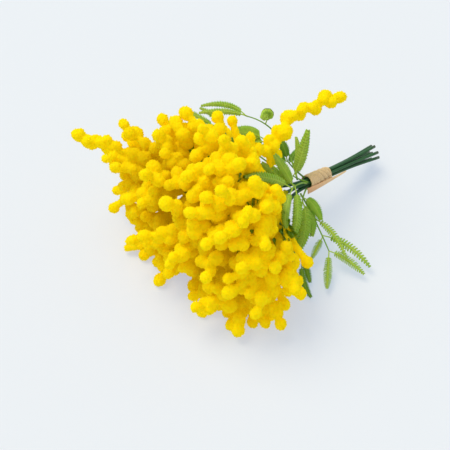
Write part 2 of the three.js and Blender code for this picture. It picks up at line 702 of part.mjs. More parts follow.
// Solids joined in pairs, without loose scraps and with sealed hollows filled.
function joined(solids) {
  let rest = solids;
  while (rest.length > 1) {
    const next = [];
    for (let index = 0; index < rest.length; index += 2) {
      next.push(index + 1 < rest.length ? rest[index].add(rest[index + 1]) : rest[index]);
    }
    rest = next;
  }
  return rest[0];
}

function largestBody(solid) {
  const bodies = solid.decompose();
  return bodies.reduce((best, body) => (body.volume() > best.volume() ? body : best));
}

function tube(curve, radius, sides, steps) {
  const section = new THREE.Shape();
  for (let side = 0; side < sides; side += 1) {
    const turn = (FULL_TURN * (side + 0.5)) / sides;
    const corner = [radius * Math.cos(turn), radius * Math.sin(turn)];
    if (side === 0) section.moveTo(...corner);
    else section.lineTo(...corner);
  }
  section.closePath();
  return new THREE.ExtrudeGeometry(section, { steps, bevelEnabled: false, extrudePath: curve });
}

// A skin over rings of points, with its ends closed. A ring that is marked as turned has its
// corners between those of the ring before it.
function ringSkin(rings, sides) {
  const points = [];
  const faces = [];
  let half = 0;
  for (const ring of rings) {
    if (ring.isTurned) half += 0.5;
    const second = ring.direction.clone().cross(ring.first);
    for (let side = 0; side < sides; side += 1) {
      const turn = (FULL_TURN * (side + half)) / sides;
      points.push(plus(ring.centre, turned(ring.first, second, turn), ring.radius));
    }
  }
  for (let index = 1; index < rings.length; index += 1) {
    for (let side = 0; side < sides; side += 1) {
      const next = (side + 1) % sides;
      const [a, b] = [(index - 1) * sides + side, (index - 1) * sides + next];
      const [c, d] = [index * sides + side, index * sides + next];
      faces.push(a, b, c, b, d, c);
    }
  }
  const end = (rings.length - 1) * sides;
  for (let side = 1; side < sides - 1; side += 1) {
    faces.push(0, side + 1, side);
    faces.push(end, end + side, end + side + 1);
  }
  return meshFrom(points, faces);
}

// A raceme: its axis, and its balls as swellings of the same skin, set off from the axis.
function racemeSolid(raceme) {
  const { curve, length } = raceme;
  const chord = curve.v2.clone().sub(curve.v0).normalize();
  const guide = squareTo(chord, Math.abs(chord.z) < STEEP ? upright : sideways);
  const balls = [...raceme.balls].sort((one, other) => one.distance - other.distance);
  const ring = (distance, radius, shift, isTurned) => {
    const direction = directionAt(curve, distance);
    const centre = pointAt(curve, distance).add(shift);
    return { centre, direction, first: squareTo(direction, guide), radius, isTurned };
  };
  const none = new THREE.Vector3();
  const rings = [ring(0, RACEME_FOOT_RADIUS, none, false)];
  balls.forEach((ball, index) => {
    const shift = ball.centre.clone().sub(pointAt(curve, ball.distance));
    const half = BALL_RINGS_AT * ball.radius;
    const wide = BALL_RINGS_RADIUS * ball.radius;
    const before = index === 0 ? 0 : balls[index - 1].distance;
    const neck = ball.distance - ball.radius;
    for (let bare = RACEME_SPAN; index === 0 && bare < neck; bare += RACEME_SPAN) {
      rings.push(ring(bare, RACEME_AXIS_RADIUS, none, false));
    }
    if (index === 0 && neck > RACEME_AXIS_RADIUS) rings.push(ring(neck, RACEME_AXIS_RADIUS, none, false));
    if (index > 0) rings.push(ring((before + ball.distance) / 2, RACEME_AXIS_RADIUS, none, false));
    rings.push(ring(ball.distance - half, wide, shift, false));
    rings.push(ring(ball.distance + half, wide, shift, true));
  });
  const last = balls.length ? balls[balls.length - 1] : null;
  const end = last ? last.distance + last.radius : length;
  const endShift = last ? last.centre.clone().sub(pointAt(curve, last.distance)) : none;
  rings.push(ring(end, last ? BALL_END_RADIUS * last.radius : RACEME_AXIS_RADIUS, endShift, false));
  return solidFrom(ringSkin(rings, BALL_SIDES));
}

const SURFACE_BLOCK = 800;
function surfaceBlock() {
  const block = new THREE.BoxGeometry(SURFACE_BLOCK, SURFACE_BLOCK, SURFACE_BLOCK);
  return solidFrom(block.translate(0, 0, SURFACE - SURFACE_BLOCK / 2));
}

// A raceme on which no ball found room isn't built.
function spraySolid(spray, block) {
  const axis = tube(spray.axis, MAIN_AXIS_RADIUS, MAIN_AXIS_SIDES, MAIN_AXIS_STEPS);
  const core = solidFrom(ringSkin(spray.core, CORE_SIDES));
  const flowering = spray.racemes.filter(({ balls }) => balls.length);
  const solids = [solidFrom(axis), core, ...flowering.map(racemeSolid)];
  return largestBody(joined(solids).subtract(block).simplify(SMALLEST_EDGE));
}

// A toothed blade of one thickness, split alike on both faces.
function bladeSolid(pinna) {
  const points = [];
  const faces = [];
  const corners = (place, reach) => {
    const direction = tangentOf(pinna.curve, place);
    const across = direction.clone().cross(leafFace).normalize();
    const up = across.clone().cross(direction);
    const middle = plus(pinna.curve.getPoint(place), across, reach);
    const level = -BLADE_ARCH * Math.abs(reach);
    points.push(plus(middle, up, level + BLADE_THICKNESS / 2));
    points.push(plus(middle, up, level - BLADE_THICKNESS / 2));
    return [points.length - 2, points.length - 1];
  };
  const wall = (a, b) => faces.push(a[0], a[1], b[1], a[0], b[1], b[0]);
  const lid = (a, b, c) => faces.push(a[0], b[0], c[0], a[1], c[1], b[1]);
  const places = [0, PINNA_BARE];
  for (let tooth = 1; tooth <= BLADE_TEETH; tooth += 1) {
    places.push(PINNA_BARE + ((1 - PINNA_BARE) * tooth * BLADE_TIP) / BLADE_TEETH);
  }
  const rows = places.map((place, index) => {
    const between = Math.max(BLADE_TIP_NOTCH, BLADE_NOTCH * bladeHalfWidth(pinna, place));
    const notch = index < 2 ? BLADE_FOOT : between;
    return { place, left: corners(place, -notch), right: corners(place, notch) };
  });
  for (let index = 1; index < rows.length; index += 1) {
    const [low, high] = [rows[index - 1], rows[index]];
    lid(low.left, low.right, high.right);
    lid(low.left, high.right, high.left);
    if (index === 1) {
      wall(low.right, high.right);
      wall(high.left, low.left);
      continue;
    }
    const place = THREE.MathUtils.lerp(low.place, high.place, TOOTH_POINT);
    const right = corners(place, bladeHalfWidth(pinna, place));
    const left = corners(place, -bladeHalfWidth(pinna, place));
    lid(low.right, right, high.right);
    lid(high.left, left, low.left);
    wall(low.right, right);
    wall(right, high.right);
    wall(high.left, left);
    wall(left, low.left);
  }
  const last = rows[rows.length - 1];
  const end = corners(1, 0);
  lid(last.left, last.right, end);
  wall(last.right, end);
  wall(end, last.left);
  wall(rows[0].left, rows[0].right);
  return solidFrom(meshFrom(points, faces));
}

function leafSolid(leaf) {
  const rachis = tube(leaf.rachis, RACHIS_RADIUS, RACHIS_SIDES, RACHIS_STEPS);
  return largestBody(joined([solidFrom(rachis), ...leaf.pinnae.map(bladeSolid)]));
}

// The band is turned from a profile with one low ridge for each turn of raffia.
function bandGeometry() {
  const half = BAND_LENGTH / 2;
  const pitch = BAND_LENGTH / BAND_TURNS;
  const outer = BAND_BORE_RADIUS + BAND_THICKNESS;
  const corner = (radius, at) => new THREE.Vector2(radius + (BAND_FLARE * (at + half)) / BAND_LENGTH, at);
  const profile = [corner(BAND_BORE_RADIUS, -half), corner(outer, -half)];
  for (let turn = 0; turn < BAND_TURNS; turn += 1) {
    const start = -half + turn * pitch;
    profile.push(corner(outer + BAND_TURN_RELIEF, start + pitch / 2));
    profile.push(corner(outer, start + pitch));
  }
  profile.push(corner(BAND_BORE_RADIUS, half));
  profile.push(corner(BAND_BORE_RADIUS, -half));
  const turn = new THREE.Quaternion().setFromUnitVectors(sideways, along);
  return new THREE.LatheGeometry(profile, BAND_SIDES).applyQuaternion(turn);
}

// The loose end lies along the band, with one edge off it, and narrows along the stems.
function tailGeometry() {
  const radial = outward(TAIL_ROLL);
  const tangent = radial.clone().cross(along);
  const out = turned(radial, tangent, radians(TAIL_TURN));
  const across = turned(tangent, radial, -radians(TAIL_TURN));
  const lay = TAIL_STATIONS.map(({ at, inner, width }) => {
    const reach = (width / 2) * Math.abs(Math.sin(radians(TAIL_TURN))) + TAIL_THICKNESS / 2;
    return plus(radial.clone().multiplyScalar(inner + reach), along, at);
  });
  const path = new THREE.CatmullRomCurve3(lay);
  const widthAt = TAIL_STATIONS.map(({ width }, index) => new THREE.Vector2(index, width));
  const widths = new THREE.SplineCurve(widthAt);
  const points = [];
  const faces = [];
  for (let step = 0; step <= TAIL_STEPS; step += 1) {
    const middle = path.getPoint(step / TAIL_STEPS);
    const width = widths.getPoint(step / TAIL_STEPS).y;
    for (const [wide, high] of [[-0.5, -0.5], [-0.5, 0.5], [0.5, 0.5], [0.5, -0.5]]) {
      points.push(plus(plus(middle, across, wide * width), out, high * TAIL_THICKNESS));
    }
  }
  for (let step = 0; step < TAIL_STEPS; step += 1) {
    for (let side = 0; side < 4; side += 1) {
      const [a, b] = [4 * step + side, 4 * step + ((side + 1) % 4)];
      faces.push(a, b, b + 4, a, b + 4, a + 4);
    }
  }
  const last = 4 * TAIL_STEPS;
  faces.push(0, 2, 1, 0, 3, 2);
  faces.push(last, last + 1, last + 2, last, last + 2, last + 3);
  return meshFrom(points, faces);
}

// ---------------------------------------------------------------- the scene graph

const bunch = new THREE.Group();

function addPiece(name, geometry, color, roughness) {
  const material = new THREE.MeshStandardMaterial({ color, roughness, metalness: 0 });
  const mesh = new THREE.Mesh(geometry, material);
  mesh.name = name;
  bunch.add(mesh);
}

const block = surfaceBlock();
for (const spray of SPRAYS) {
  const stem = tube(spray.stem, STEM_DIAMETER / 2, STEM_SIDES, STEM_STEPS);
  addPiece("stem_" + spray.name, stem, STEM_GREEN, 0.45);
  addPiece("spray_" + spray.name, geometryFrom(spraySolid(spray, block)), FLOWER_YELLOW, 0.95);
}
for (const leaf of LEAVES) addPiece(leaf.owner, geometryFrom(leafSolid(leaf)), LEAF_GREEN, 0.5);
addPiece("raffia_band", bandGeometry(), RAFFIA_TAN, 0.8);
addPiece("raffia_tail", tailGeometry(), RAFFIA_TAN, 0.8);

// The origin lies on the surface, under the middle of the bunch's box.
const middle = new THREE.Box3().setFromObject(bunch).getCenter(new THREE.Vector3());
bunch.position.set(-middle.x, -middle.y, -SURFACE);

export default bunch;
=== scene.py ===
"""Looks of a bunch of artificial mimosa: flocked sprays and moulded leaves, tied with raffia.

The layout is worked out in millimetres from the tie's centre, by the rule that the part itself
follows, and is moved into the frame, in metres, when a piece's mesh is made.
"""

from __future__ import annotations

import logging
import math
from dataclasses import dataclass, field
from enum import Enum
from functools import cache
from typing import Callable, Sequence

import bpy
import numpy as np
from mathutils import Matrix, Vector


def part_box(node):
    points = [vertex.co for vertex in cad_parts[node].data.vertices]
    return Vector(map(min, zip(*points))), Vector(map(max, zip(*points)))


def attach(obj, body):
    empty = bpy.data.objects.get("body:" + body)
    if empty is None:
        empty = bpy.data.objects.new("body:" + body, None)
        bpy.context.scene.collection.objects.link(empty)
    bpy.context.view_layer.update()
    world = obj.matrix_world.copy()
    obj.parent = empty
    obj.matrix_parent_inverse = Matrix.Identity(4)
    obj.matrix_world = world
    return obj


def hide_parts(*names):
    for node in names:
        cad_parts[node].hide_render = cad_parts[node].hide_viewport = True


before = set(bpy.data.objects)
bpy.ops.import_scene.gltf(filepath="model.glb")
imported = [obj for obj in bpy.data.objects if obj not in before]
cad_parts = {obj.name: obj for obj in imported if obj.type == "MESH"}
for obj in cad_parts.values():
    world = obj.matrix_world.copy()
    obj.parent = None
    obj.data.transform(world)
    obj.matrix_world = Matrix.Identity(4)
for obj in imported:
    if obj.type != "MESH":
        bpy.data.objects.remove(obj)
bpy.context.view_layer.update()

LOG = logging.getLogger("mimosa")
Array = np.ndarray
Pair = tuple[float, float]
Triple = tuple[float, float, float]
Dress = tuple[float, float, float, float]
Dressing = Dress | Callable[[float], Dress]
Grid = tuple[int, int]
FULL_TURN = 2 * math.pi
GOLDEN_TURN = math.pi * (3 - math.sqrt(5))
METRES = 0.001
NOISE_SOCKETS = ("Vector", "Scale", "Detail", "Roughness")


# --- directions and draws


def vec(*numbers: float) -> Array:
    """A vector from its numbers."""
    return np.array(numbers, float)


def unit(vector: Array) -> Array:
    """The vector at length 1."""
    return vector / np.linalg.norm(vector)


def far(vector: Array) -> float:
    """The vector's length."""
    return float(np.linalg.norm(vector))


def lerp(start: float | Array, end: float | Array, share: float | Array) -> float | Array:
    """What lies at a share of the way from start to end."""
    return start + (end - start) * share


def clamp(value: float, low: float = 0.0, high: float = 1.0) -> float:
    """The value, kept between low and high."""
    return max(low, min(high, value))


def smooth(share: float) -> float:
    """A share from 0 to 1, eased at both ends."""
    return share * share * (3 - 2 * share)


def turned(first: Array, second: Array, angle: float) -> Array:
    """The direction at an angle in radians from the first, towards the second."""
    return first * math.cos(angle) + second * math.sin(angle)


def square_to(direction: Array, guide: Array) -> Array:
    """The direction square to one direction, and as near as can be to a guide."""
    return unit(guide - direction * float(np.dot(guide, direction)))


class Draw:
    """A seeded draw of numbers, the same on each run."""

    FACTOR = 1664525
    STEP = 1013904223
    RANGE = 4294967296

    def __init__(self, seed: int) -> None:
        """Starts the draw from its seed."""
        self.state = seed

    def next(self) -> float:
        """The next number, from 0 up to 1."""
        self.state = (self.state * self.FACTOR + self.STEP) % self.RANGE
        return self.state / self.RANGE

    def about(self, centre: float, half: float) -> float:
        """The next number within a half range of a centre."""
        return centre + (2 * self.next() - 1) * half


# --- curves


class Curve:
    """A curve in space, with its length measured over short chords."""

    CHORDS = 200
    STEP = 1e-4

    def point(self, place: float) -> Array:
        """The point at a place from 0 to 1."""
        raise NotImplementedError

    def tangent(self, place: float) -> Array:
        """The unit direction at a place from 0 to 1."""
        ahead = self.point(min(1.0, place + self.STEP))
        return unit(ahead - self.point(max(0.0, place - self.STEP)))

    def points(self, steps: int) -> Array:
        """The points at even places along the curve."""
        return np.array([self.point(index / steps) for index in range(steps + 1)])

    def measure(self) -> None:
        """Works out the length up to each chord's end."""
        chords = np.linalg.norm(np.diff(self.points(self.CHORDS), axis=0), axis=1)
        self.lengths = np.concatenate([[0.0], np.cumsum(chords)])
        self.length = float(self.lengths[-1])

    def place_at(self, distance: float) -> float:
        """The place that lies at a distance along the curve."""
        places = np.linspace(0.0, 1.0, self.CHORDS + 1)
        return float(np.interp(distance, self.lengths, places))

    def at(self, distance: float) -> Array:
        """The point at a distance along the curve, also a little past its ends."""
        place = self.place_at(distance)
        return self.point(place) + self.tangent(place) * (distance - clamp(distance, 0.0, self.length))

    def direction(self, distance: float) -> Array:
        """The unit direction at a distance along the curve."""
        return self.tangent(self.place_at(distance))


class Bend(Curve):
    """A quadratic curve through its ends, drawn towards a point between them."""

    def __init__(self, start: Array, via: Array, end: Array) -> None:
        """Makes the curve and measures it."""
        self.start, self.via, self.end = start, via, end
        self.measure()

    def point(self, place: float) -> Array:
        """The point at a place from 0 to 1."""
        rest = 1 - place
        return self.start * rest**2 + self.via * (2 * rest * place) + self.end * place**2

    def tangent(self, place: float) -> Array:
        """The unit direction at a place from 0 to 1."""
        return unit((self.via - self.start) * (1 - place) + (self.end - self.via) * place)


class Wire(Curve):
    """A smooth curve through all of its points."""

    def __init__(self, stations: Sequence[Array]) -> None:
        """Makes the curve and measures it."""
        self.stations = list(stations)
        self.measure()

    def point(self, place: float) -> Array:
        """The point at a place, on the cubic run between the two stations beside it.

        Args:
            place: the place, from 0 at the first station to 1 at the last.

        Returns:
            The point.
        """
        stations = self.stations
        last = len(stations) - 1
        index = min(int(last * place), last - 1)
        share = last * place - index
        second, third = stations[index], stations[index + 1]
        first = stations[index - 1] if index > 0 else 2 * second - third
        fourth = stations[index + 2] if index + 2 <= last else 2 * third - second
        before = far(second - first) ** 0.5
        between = far(third - second) ** 0.5
        after = far(fourth - third) ** 0.5
        leave = (second - first) / before - (third - first) / (before + between) + (third - second) / between
        arrive = (third - second) / between - (fourth - second) / (between + after) + (fourth - third) / after
        leave, arrive = leave * between, arrive * between
        square = -3 * second + 3 * third - 2 * leave - arrive
        cube = 2 * second - 2 * third + leave + arrive
        return second + leave * share + square * share**2 + cube * share**3


# --- the bunch's form


@dataclass(frozen=True)
class Lift:
    """How what would sink eases off above the surface, in millimetres."""

    clear: float
    soft: float


AXIS_LIFT = Lift(9, 10)
RACEME_LIFT = Lift(7, 10)
TIP_LIFT = Lift(3, 6)


@dataclass
class Bunch:
    """The bunch's pose and the form of its head, in millimetres and degrees."""

    axis_rise: float = 17.0
    tie_height: float = 38.0
    gap: float = 0.3
    reach_middle: float = 166.0
    reach_keeps: float = 1.5
    reach_rim: tuple[float, ...] = (200, 130, 140, 132, 116, 156, 160, 184)
    spread_rim: tuple[float, ...] = (43, 42, 29, 28, 39, 44, 42, 43)
    roll_step: float = 45.0

    def __post_init__(self) -> None:
        """Works out the bunch's own directions."""
        rise = math.radians(self.axis_rise)
        self.along = vec(-math.cos(rise), 0, math.sin(rise))
        self.sideways = vec(0, 1, 0)
        self.upright = vec(math.sin(rise), 0, math.cos(rise))
        self.surface = -self.tie_height

    def outward(self, roll: float) -> Array:
        """The direction square to the bunch's axis, at a roll about it."""
        return turned(self.sideways, self.upright, math.radians(roll))

    def heading(self, spread: float, roll: float) -> Array:
        """The direction away from the bunch's axis by a spread, at a roll about it."""
        return turned(self.along, self.outward(roll), math.radians(spread))

    def round_table(self, table: Sequence[float], roll: float) -> float:
        """The value at a roll, between those of a table that goes round the axis by roll_step."""
        entry, share = divmod((roll % 360) / self.roll_step, 1)
        return lerp(table[int(entry) % len(table)], table[int(entry + 1) % len(table)], smooth(share))

    def reach(self, spread_share: float, roll: float) -> float:
        """How far the head reaches at a share of its spread."""
        towards_rim = min(1.0, spread_share) ** self.reach_keeps
        return lerp(self.reach_middle, self.round_table(self.reach_rim, roll), towards_rim)

    def skin(self, spread_share: float, roll: float, reach_share: float = 1.0) -> Array:
        """A point of the head's skin, or inside it at a share of its reach."""
        spread = spread_share * self.round_table(self.spread_rim, roll)
        return self.heading(spread, roll) * (reach_share * self.reach(spread_share, roll))

    def depth(self, point: Array) -> float:
        """How deep a point lies under the head's skin.

        Args:
            point: the place, from the tie's centre.

        Returns:
            The depth in millimetres, below 0 outside the head.
        """
        away = far(point)
        direction = point / away
        spread = math.degrees(math.acos(clamp(float(np.dot(direction, self.along)), -1, 1)))
        roll = math.degrees(math.atan2(float(np.dot(direction, self.upright)), direction[1]))
        rim = self.round_table(self.spread_rim, roll)
        return min(self.reach(spread / rim, roll) - away, math.radians(rim - spread) * away)

    def lifted(self, point: Array, lift: Lift) -> Array:
        """The point, raised if it would sink towards the surface.

        Args:
            point: the place, from the tie's centre.
            lift: how far above the surface it stays, and how softly.

        Returns:
            The place after the rise.
        """
        soft_from = self.surface + lift.clear + lift.soft
        if point[2] >= soft_from:
            return point
        rest = lift.soft * math.exp((point[2] - soft_from) / lift.soft)
        return vec(point[0], point[1], self.surface + lift.clear + rest)


# --- room


def segment_distances(points: Array, starts: Array, ends: Array) -> Array:
    """The distance from each point to each straight segment.

    Args:
        points: the points, one to a row.
        starts: the segments' starts, one to a row.
        ends: their ends.

    Returns:
        A row for each point, with a distance for each segment.
    """
    runs = ends - starts
    offsets = points[:, None] - starts[None]
    shares = np.clip((offsets * runs).sum(2) / (runs * runs).sum(1), 0, 1)
    return np.linalg.norm(offsets - shares[..., None] * runs[None], axis=2)


def line_distance(point: Array, line: Array) -> float:
    """The distance from a point to a line through points."""
    return float(segment_distances(np.atleast_2d(point), line[:-1], line[1:]).min())


class Room:
    """What is in place already: lines and spots, each with a radius and an owner."""

    def __init__(self) -> None:
        """Starts with nothing in place."""
        self.owners: dict[str, int] = {}
        self.lines: list[tuple[Array, float, int]] = []
        self.spots: list[tuple[Array, float, int]] = []
        self.packed = (0, 0)

    def number_of(self, owner: str) -> int:
        """The number that stands for an owner."""
        return self.owners.setdefault(owner, len(self.owners))

    def add_line(self, owner: str, points: Array, radius: float) -> None:
        """Adds a line through points."""
        self.lines.append((points, radius, self.number_of(owner)))

    def add_spot(self, owner: str, centre: Array, radius: float) -> None:
        """Adds a round spot."""
        self.spots.append((centre, radius, self.number_of(owner)))

    def pack(self) -> None:
        """Turns the lists into arrays, if they have grown."""
        if self.packed == (len(self.lines), len(self.spots)):
            return
        sizes = [len(points) - 1 for points, _, _ in self.lines]
        self.starts = np.concatenate([points[:-1] for points, _, _ in self.lines])
        self.ends = np.concatenate([points[1:] for points, _, _ in self.lines])
        self.line_radius = np.repeat([radius for _, radius, _ in self.lines], sizes)
        self.line_owner = np.repeat([owner for _, _, owner in self.lines], sizes)
        self.centres = np.array([centre for centre, _, _ in self.spots]).reshape(-1, 3)
        self.spot_radius = np.array([radius for _, radius, _ in self.spots])
        self.spot_owner = np.array([owner for _, _, owner in self.spots])
        self.packed = (len(self.lines), len(self.spots))

    def is_clear(self, owner: str, points: Array, radius: float, room: float) -> bool:
        """Tells whether points stay clear of everything that others own.

        Args:
            owner: whose own lines and spots don't count.
            points: the places, one to a row.
            radius: what stands round each place.
            room: the least gap that is left.

        Returns:
            True if all of the points are clear.
        """
        self.pack()
        number = self.number_of(owner)
        points = np.atleast_2d(points)
        others = self.line_owner != number
        away = segment_distances(points, self.starts[others], self.ends[others])
        if (away < radius + self.line_radius[others] + room).any():
            return False
        if not self.spots:
            return True
        strangers = self.spot_owner != number
        between = np.linalg.norm(points[:, None] - self.centres[strangers][None], axis=2)
        return not (between < radius + self.spot_radius[strangers] + room).any()

    def touches(self, owners: str, centre: Array, radius: float) -> bool:
        """Tells whether a ball would touch what certain owners have in place.

        Args:
            owners: how the names of these owners start.
            centre: the ball's centre.
            radius: its radius.

        Returns:
            True if it would touch one of their lines or spots.
        """
        self.pack()
        chosen = np.array([name.startswith(owners) for name in self.owners])
        spots, lines = chosen[self.spot_owner], chosen[self.line_owner]
        away = np.linalg.norm(self.centres[spots] - centre, axis=1)
        if (away < radius + self.spot_radius[spots]).any():
            return True
        near = segment_distances(np.atleast_2d(centre), self.starts[lines], self.ends[lines])[0]
        return bool((near < radius + self.line_radius[lines]).any())


# --- what the bunch is made of


@dataclass
class Ball:
    """One flocked flower ball, by the distance along its raceme of what carries it."""

    centre: Array
    radius: float
    distance: float
    foot: Array


@dataclass
class Raceme:
    """A side branch of a spray, with its balls, which go round it from a turn in radians."""

    spray: Spray
    curve: Bend
    turn: float
    line: Array
    thrown_back: bool = False
    balls: list[Ball] = field(default_factory=list)


@dataclass
class Spray:
    """A spray: its place in the tie, its share of the head and its branches."""

    name: str
    slot: float | None
    share: float
    roll: float
    racemes: list[Raceme] = field(default_factory=list)
    cores: list[tuple[Array, float]] = field(default_factory=list)
    towards: Array = field(init=False)
    base: Array = field(init=False)
    start: Array = field(init=False)
    axis: Bend = field(init=False)
    axis_line: Array = field(init=False)
    stem: Wire = field(init=False)
    stem_line: Array = field(init=False)


@dataclass(frozen=True)
class Wanted:
    """A blade as it is wanted: its foot on the rachis, its course and half its width."""

    place: float
    via: Triple
    to: Triple
    half: float


@dataclass
class Pinna:
    """One blade of a leaf: its midrib's curve and half its width."""

    curve: Bend
    half: float


@dataclass
class Leaf:
    """A twice-pinnate leaf: where its stem carries it, its course and its blades."""

    name: str
    stem: str
    start: float
    side: float
    via: Triple
    to: Triple
    is_open: bool
    wanted: list[Wanted]
    pinnae: list[Pinna] = field(default_factory=list)
    rachis: Bend = field(init=False)


# in millimetres from the tie's centre, with no blade laid yet
WANTED_LEAVES = (
    Leaf("star", "top_right", 20, 118, (-29, -7.4, 26.9), (-41.9, -8.7, 27.8), True, [
        Wanted(0.96, (-56.1, 2.3, 49.3), (-81.4, 6.4, 62), 4.6),
        Wanted(0.97, (-58.5, -11.1, 37.3), (-66.4, -3.1, 24.6), 3.4),
        Wanted(0.9, (-60.8, -19.4, 28.2), (-74.4, -37.9, 31.7), 3.9),
        Wanted(0.8, (-48.1, -29.9, 20.9), (-67.5, -39.6, 9.4), 4.5),
        Wanted(0.86, (-39.3, 1.5, 40.5), (-41.6, 13.8, 52.1), 4.7),
        Wanted(0.76, (-45.6, 5.4, 33.6), (-50.9, 19.3, 43.6), 4.4),
    ]),
    Leaf("upright", "top_right", 17, 105, (-21.9, 0.4, 14.8), (-25.6, 5.7, 18.4), True, [
        Wanted(0.98, (-12.9, 9.7, 23.8), (6.6, 23.4, 39.9), 5.6),
        Wanted(0.8, (-8.2, 14.5, 21.2), (-0.8, 29.9, 30.3), 3.2),
    ]),
    Leaf("down", "right", 20, 160, (-25.6, -9.3, 10.3), (-32, -14.2, 4.8), True, [
        Wanted(0.75, (-22.4, -20.4, 5.8), (-26.2, -33.5, -5.4), 4.4),
        Wanted(0.9, (-36.6, -31.6, -4.1), (-58.9, -40.2, -15.1), 5.4),
        Wanted(1, (-46.8, -26.8, -12.2), (-67.8, -39, -22.1), 4.8),
        Wanted(1, (-26.1, -25.7, -4.8), (-38.4, -36.1, -15.9), 4.4),
    ]),
    Leaf("fold", "top_left", 33, 66, (-22.4, 26.9, 26.3), (-27.1, 43.3, 35.4), True, [
        Wanted(1, (-34.6, 53.7, 43.7), (-47.6, 62.6, 41.5), 5.6),
        Wanted(0.92, (-37, 47.9, 34.7), (-49.6, 54.8, 33.9), 5.2),
        Wanted(0.85, (-29.1, 37.7, 24.2), (-36.8, 47.7, 23.7), 4.4),
    ]),
    Leaf("top", "left", 22, 50, (7.6, 54.3, 20.3), (-20.5, 75.1, 33.5), True, [
        Wanted(1, (-22.8, 93.3, 42.2), (-45.9, 107.8, 37.2), 4.3),
        Wanted(0.97, (-32.2, 89, 40.6), (-52.6, 102.3, 37.3), 4.3),
        Wanted(0.72, (-1.7, 61.7, 43.3), (-16, 58.8, 40.2), 4.6),
    ]),
    Leaf("right", "right", 28, 205, (-24.6, -22.1, -10), (-35.7, -55.5, -20), True, [
        Wanted(0.5, (-22, -47.2, -8), (-29.2, -70, -19), 3.6),
        Wanted(0.78, (-13, -57.6, -22), (-14.5, -86.7, -30), 4.3),
        Wanted(1, (-25.8, -67.2, -24), (-23.1, -88.1, -31), 4.3),
        Wanted(1, (-46.9, -66.8, -26), (-57.8, -77.6, -31), 4.3),
        Wanted(0.8, (-38.4, -44.6, -22), (-49.1, -48.7, -26), 3.6),
    ]),
    Leaf("under", "top_left", 40, 118, (-33.9, 10.8, 17.4), (-39.7, 17.7, 20.9), False, [
        Wanted(1, (-47.8, 28.6, 26.8), (-61.2, 38.3, 29.6), 5.2),
        Wanted(0.8, (-46.4, 23.1, 18.4), (-59, 29.9, 16.4), 4.2),
    ]),
    Leaf("back", "top_left", 16, 50, (-14.3, 18.4, 8.3), (-14.5, 25.3, 13.2), False, [
        Wanted(1, (-12.8, 29.3, 22.2), (-12.2, 38.4, 28.5), 4.4),
        Wanted(0.8, (-8.2, 25.3, 11.1), (0.9, 28.8, 13.4), 3),
        Wanted(0.9, (-21.1, 27.6, 16.3), (-19.3, 36.6, 21.9), 3.6),
    ]),
    Leaf("low", "low_right", 26, 228, (-34.8, -16.4, -13), (-59.1, -46.6, -25), False, [
        Wanted(0.88, (-59.2, -52.1, -28), (-64, -62.9, -33), 4),
        Wanted(1, (-72.5, -58.9, -29), (-73.2, -74.1, -34), 4),
        Wanted(0.8, (-63.5, -41.2, -27), (-74.4, -48.3, -32), 4),
    ]),
    Leaf("far", "left", 26, 20, (-25.7, 46.1, 8.2), (-44.9, 89.4, 25.3), False, [
        Wanted(1, (-50.5, 100.9, 28.9), (-57.5, 116.4, 34.1), 3.8),
        Wanted(0.9, (-35.8, 96, 28), (-44.2, 111.5, 30.2), 3.8),
        Wanted(0.94, (-53.7, 91.4, 27.3), (-60.4, 102.9, 31.7), 3.6),
    ]),
)


@dataclass(frozen=True)
class Ring:
    """A ring of raceme tips: shares of the head's reach and spread, and how many."""

    reach: float
    spread: float
    count: int


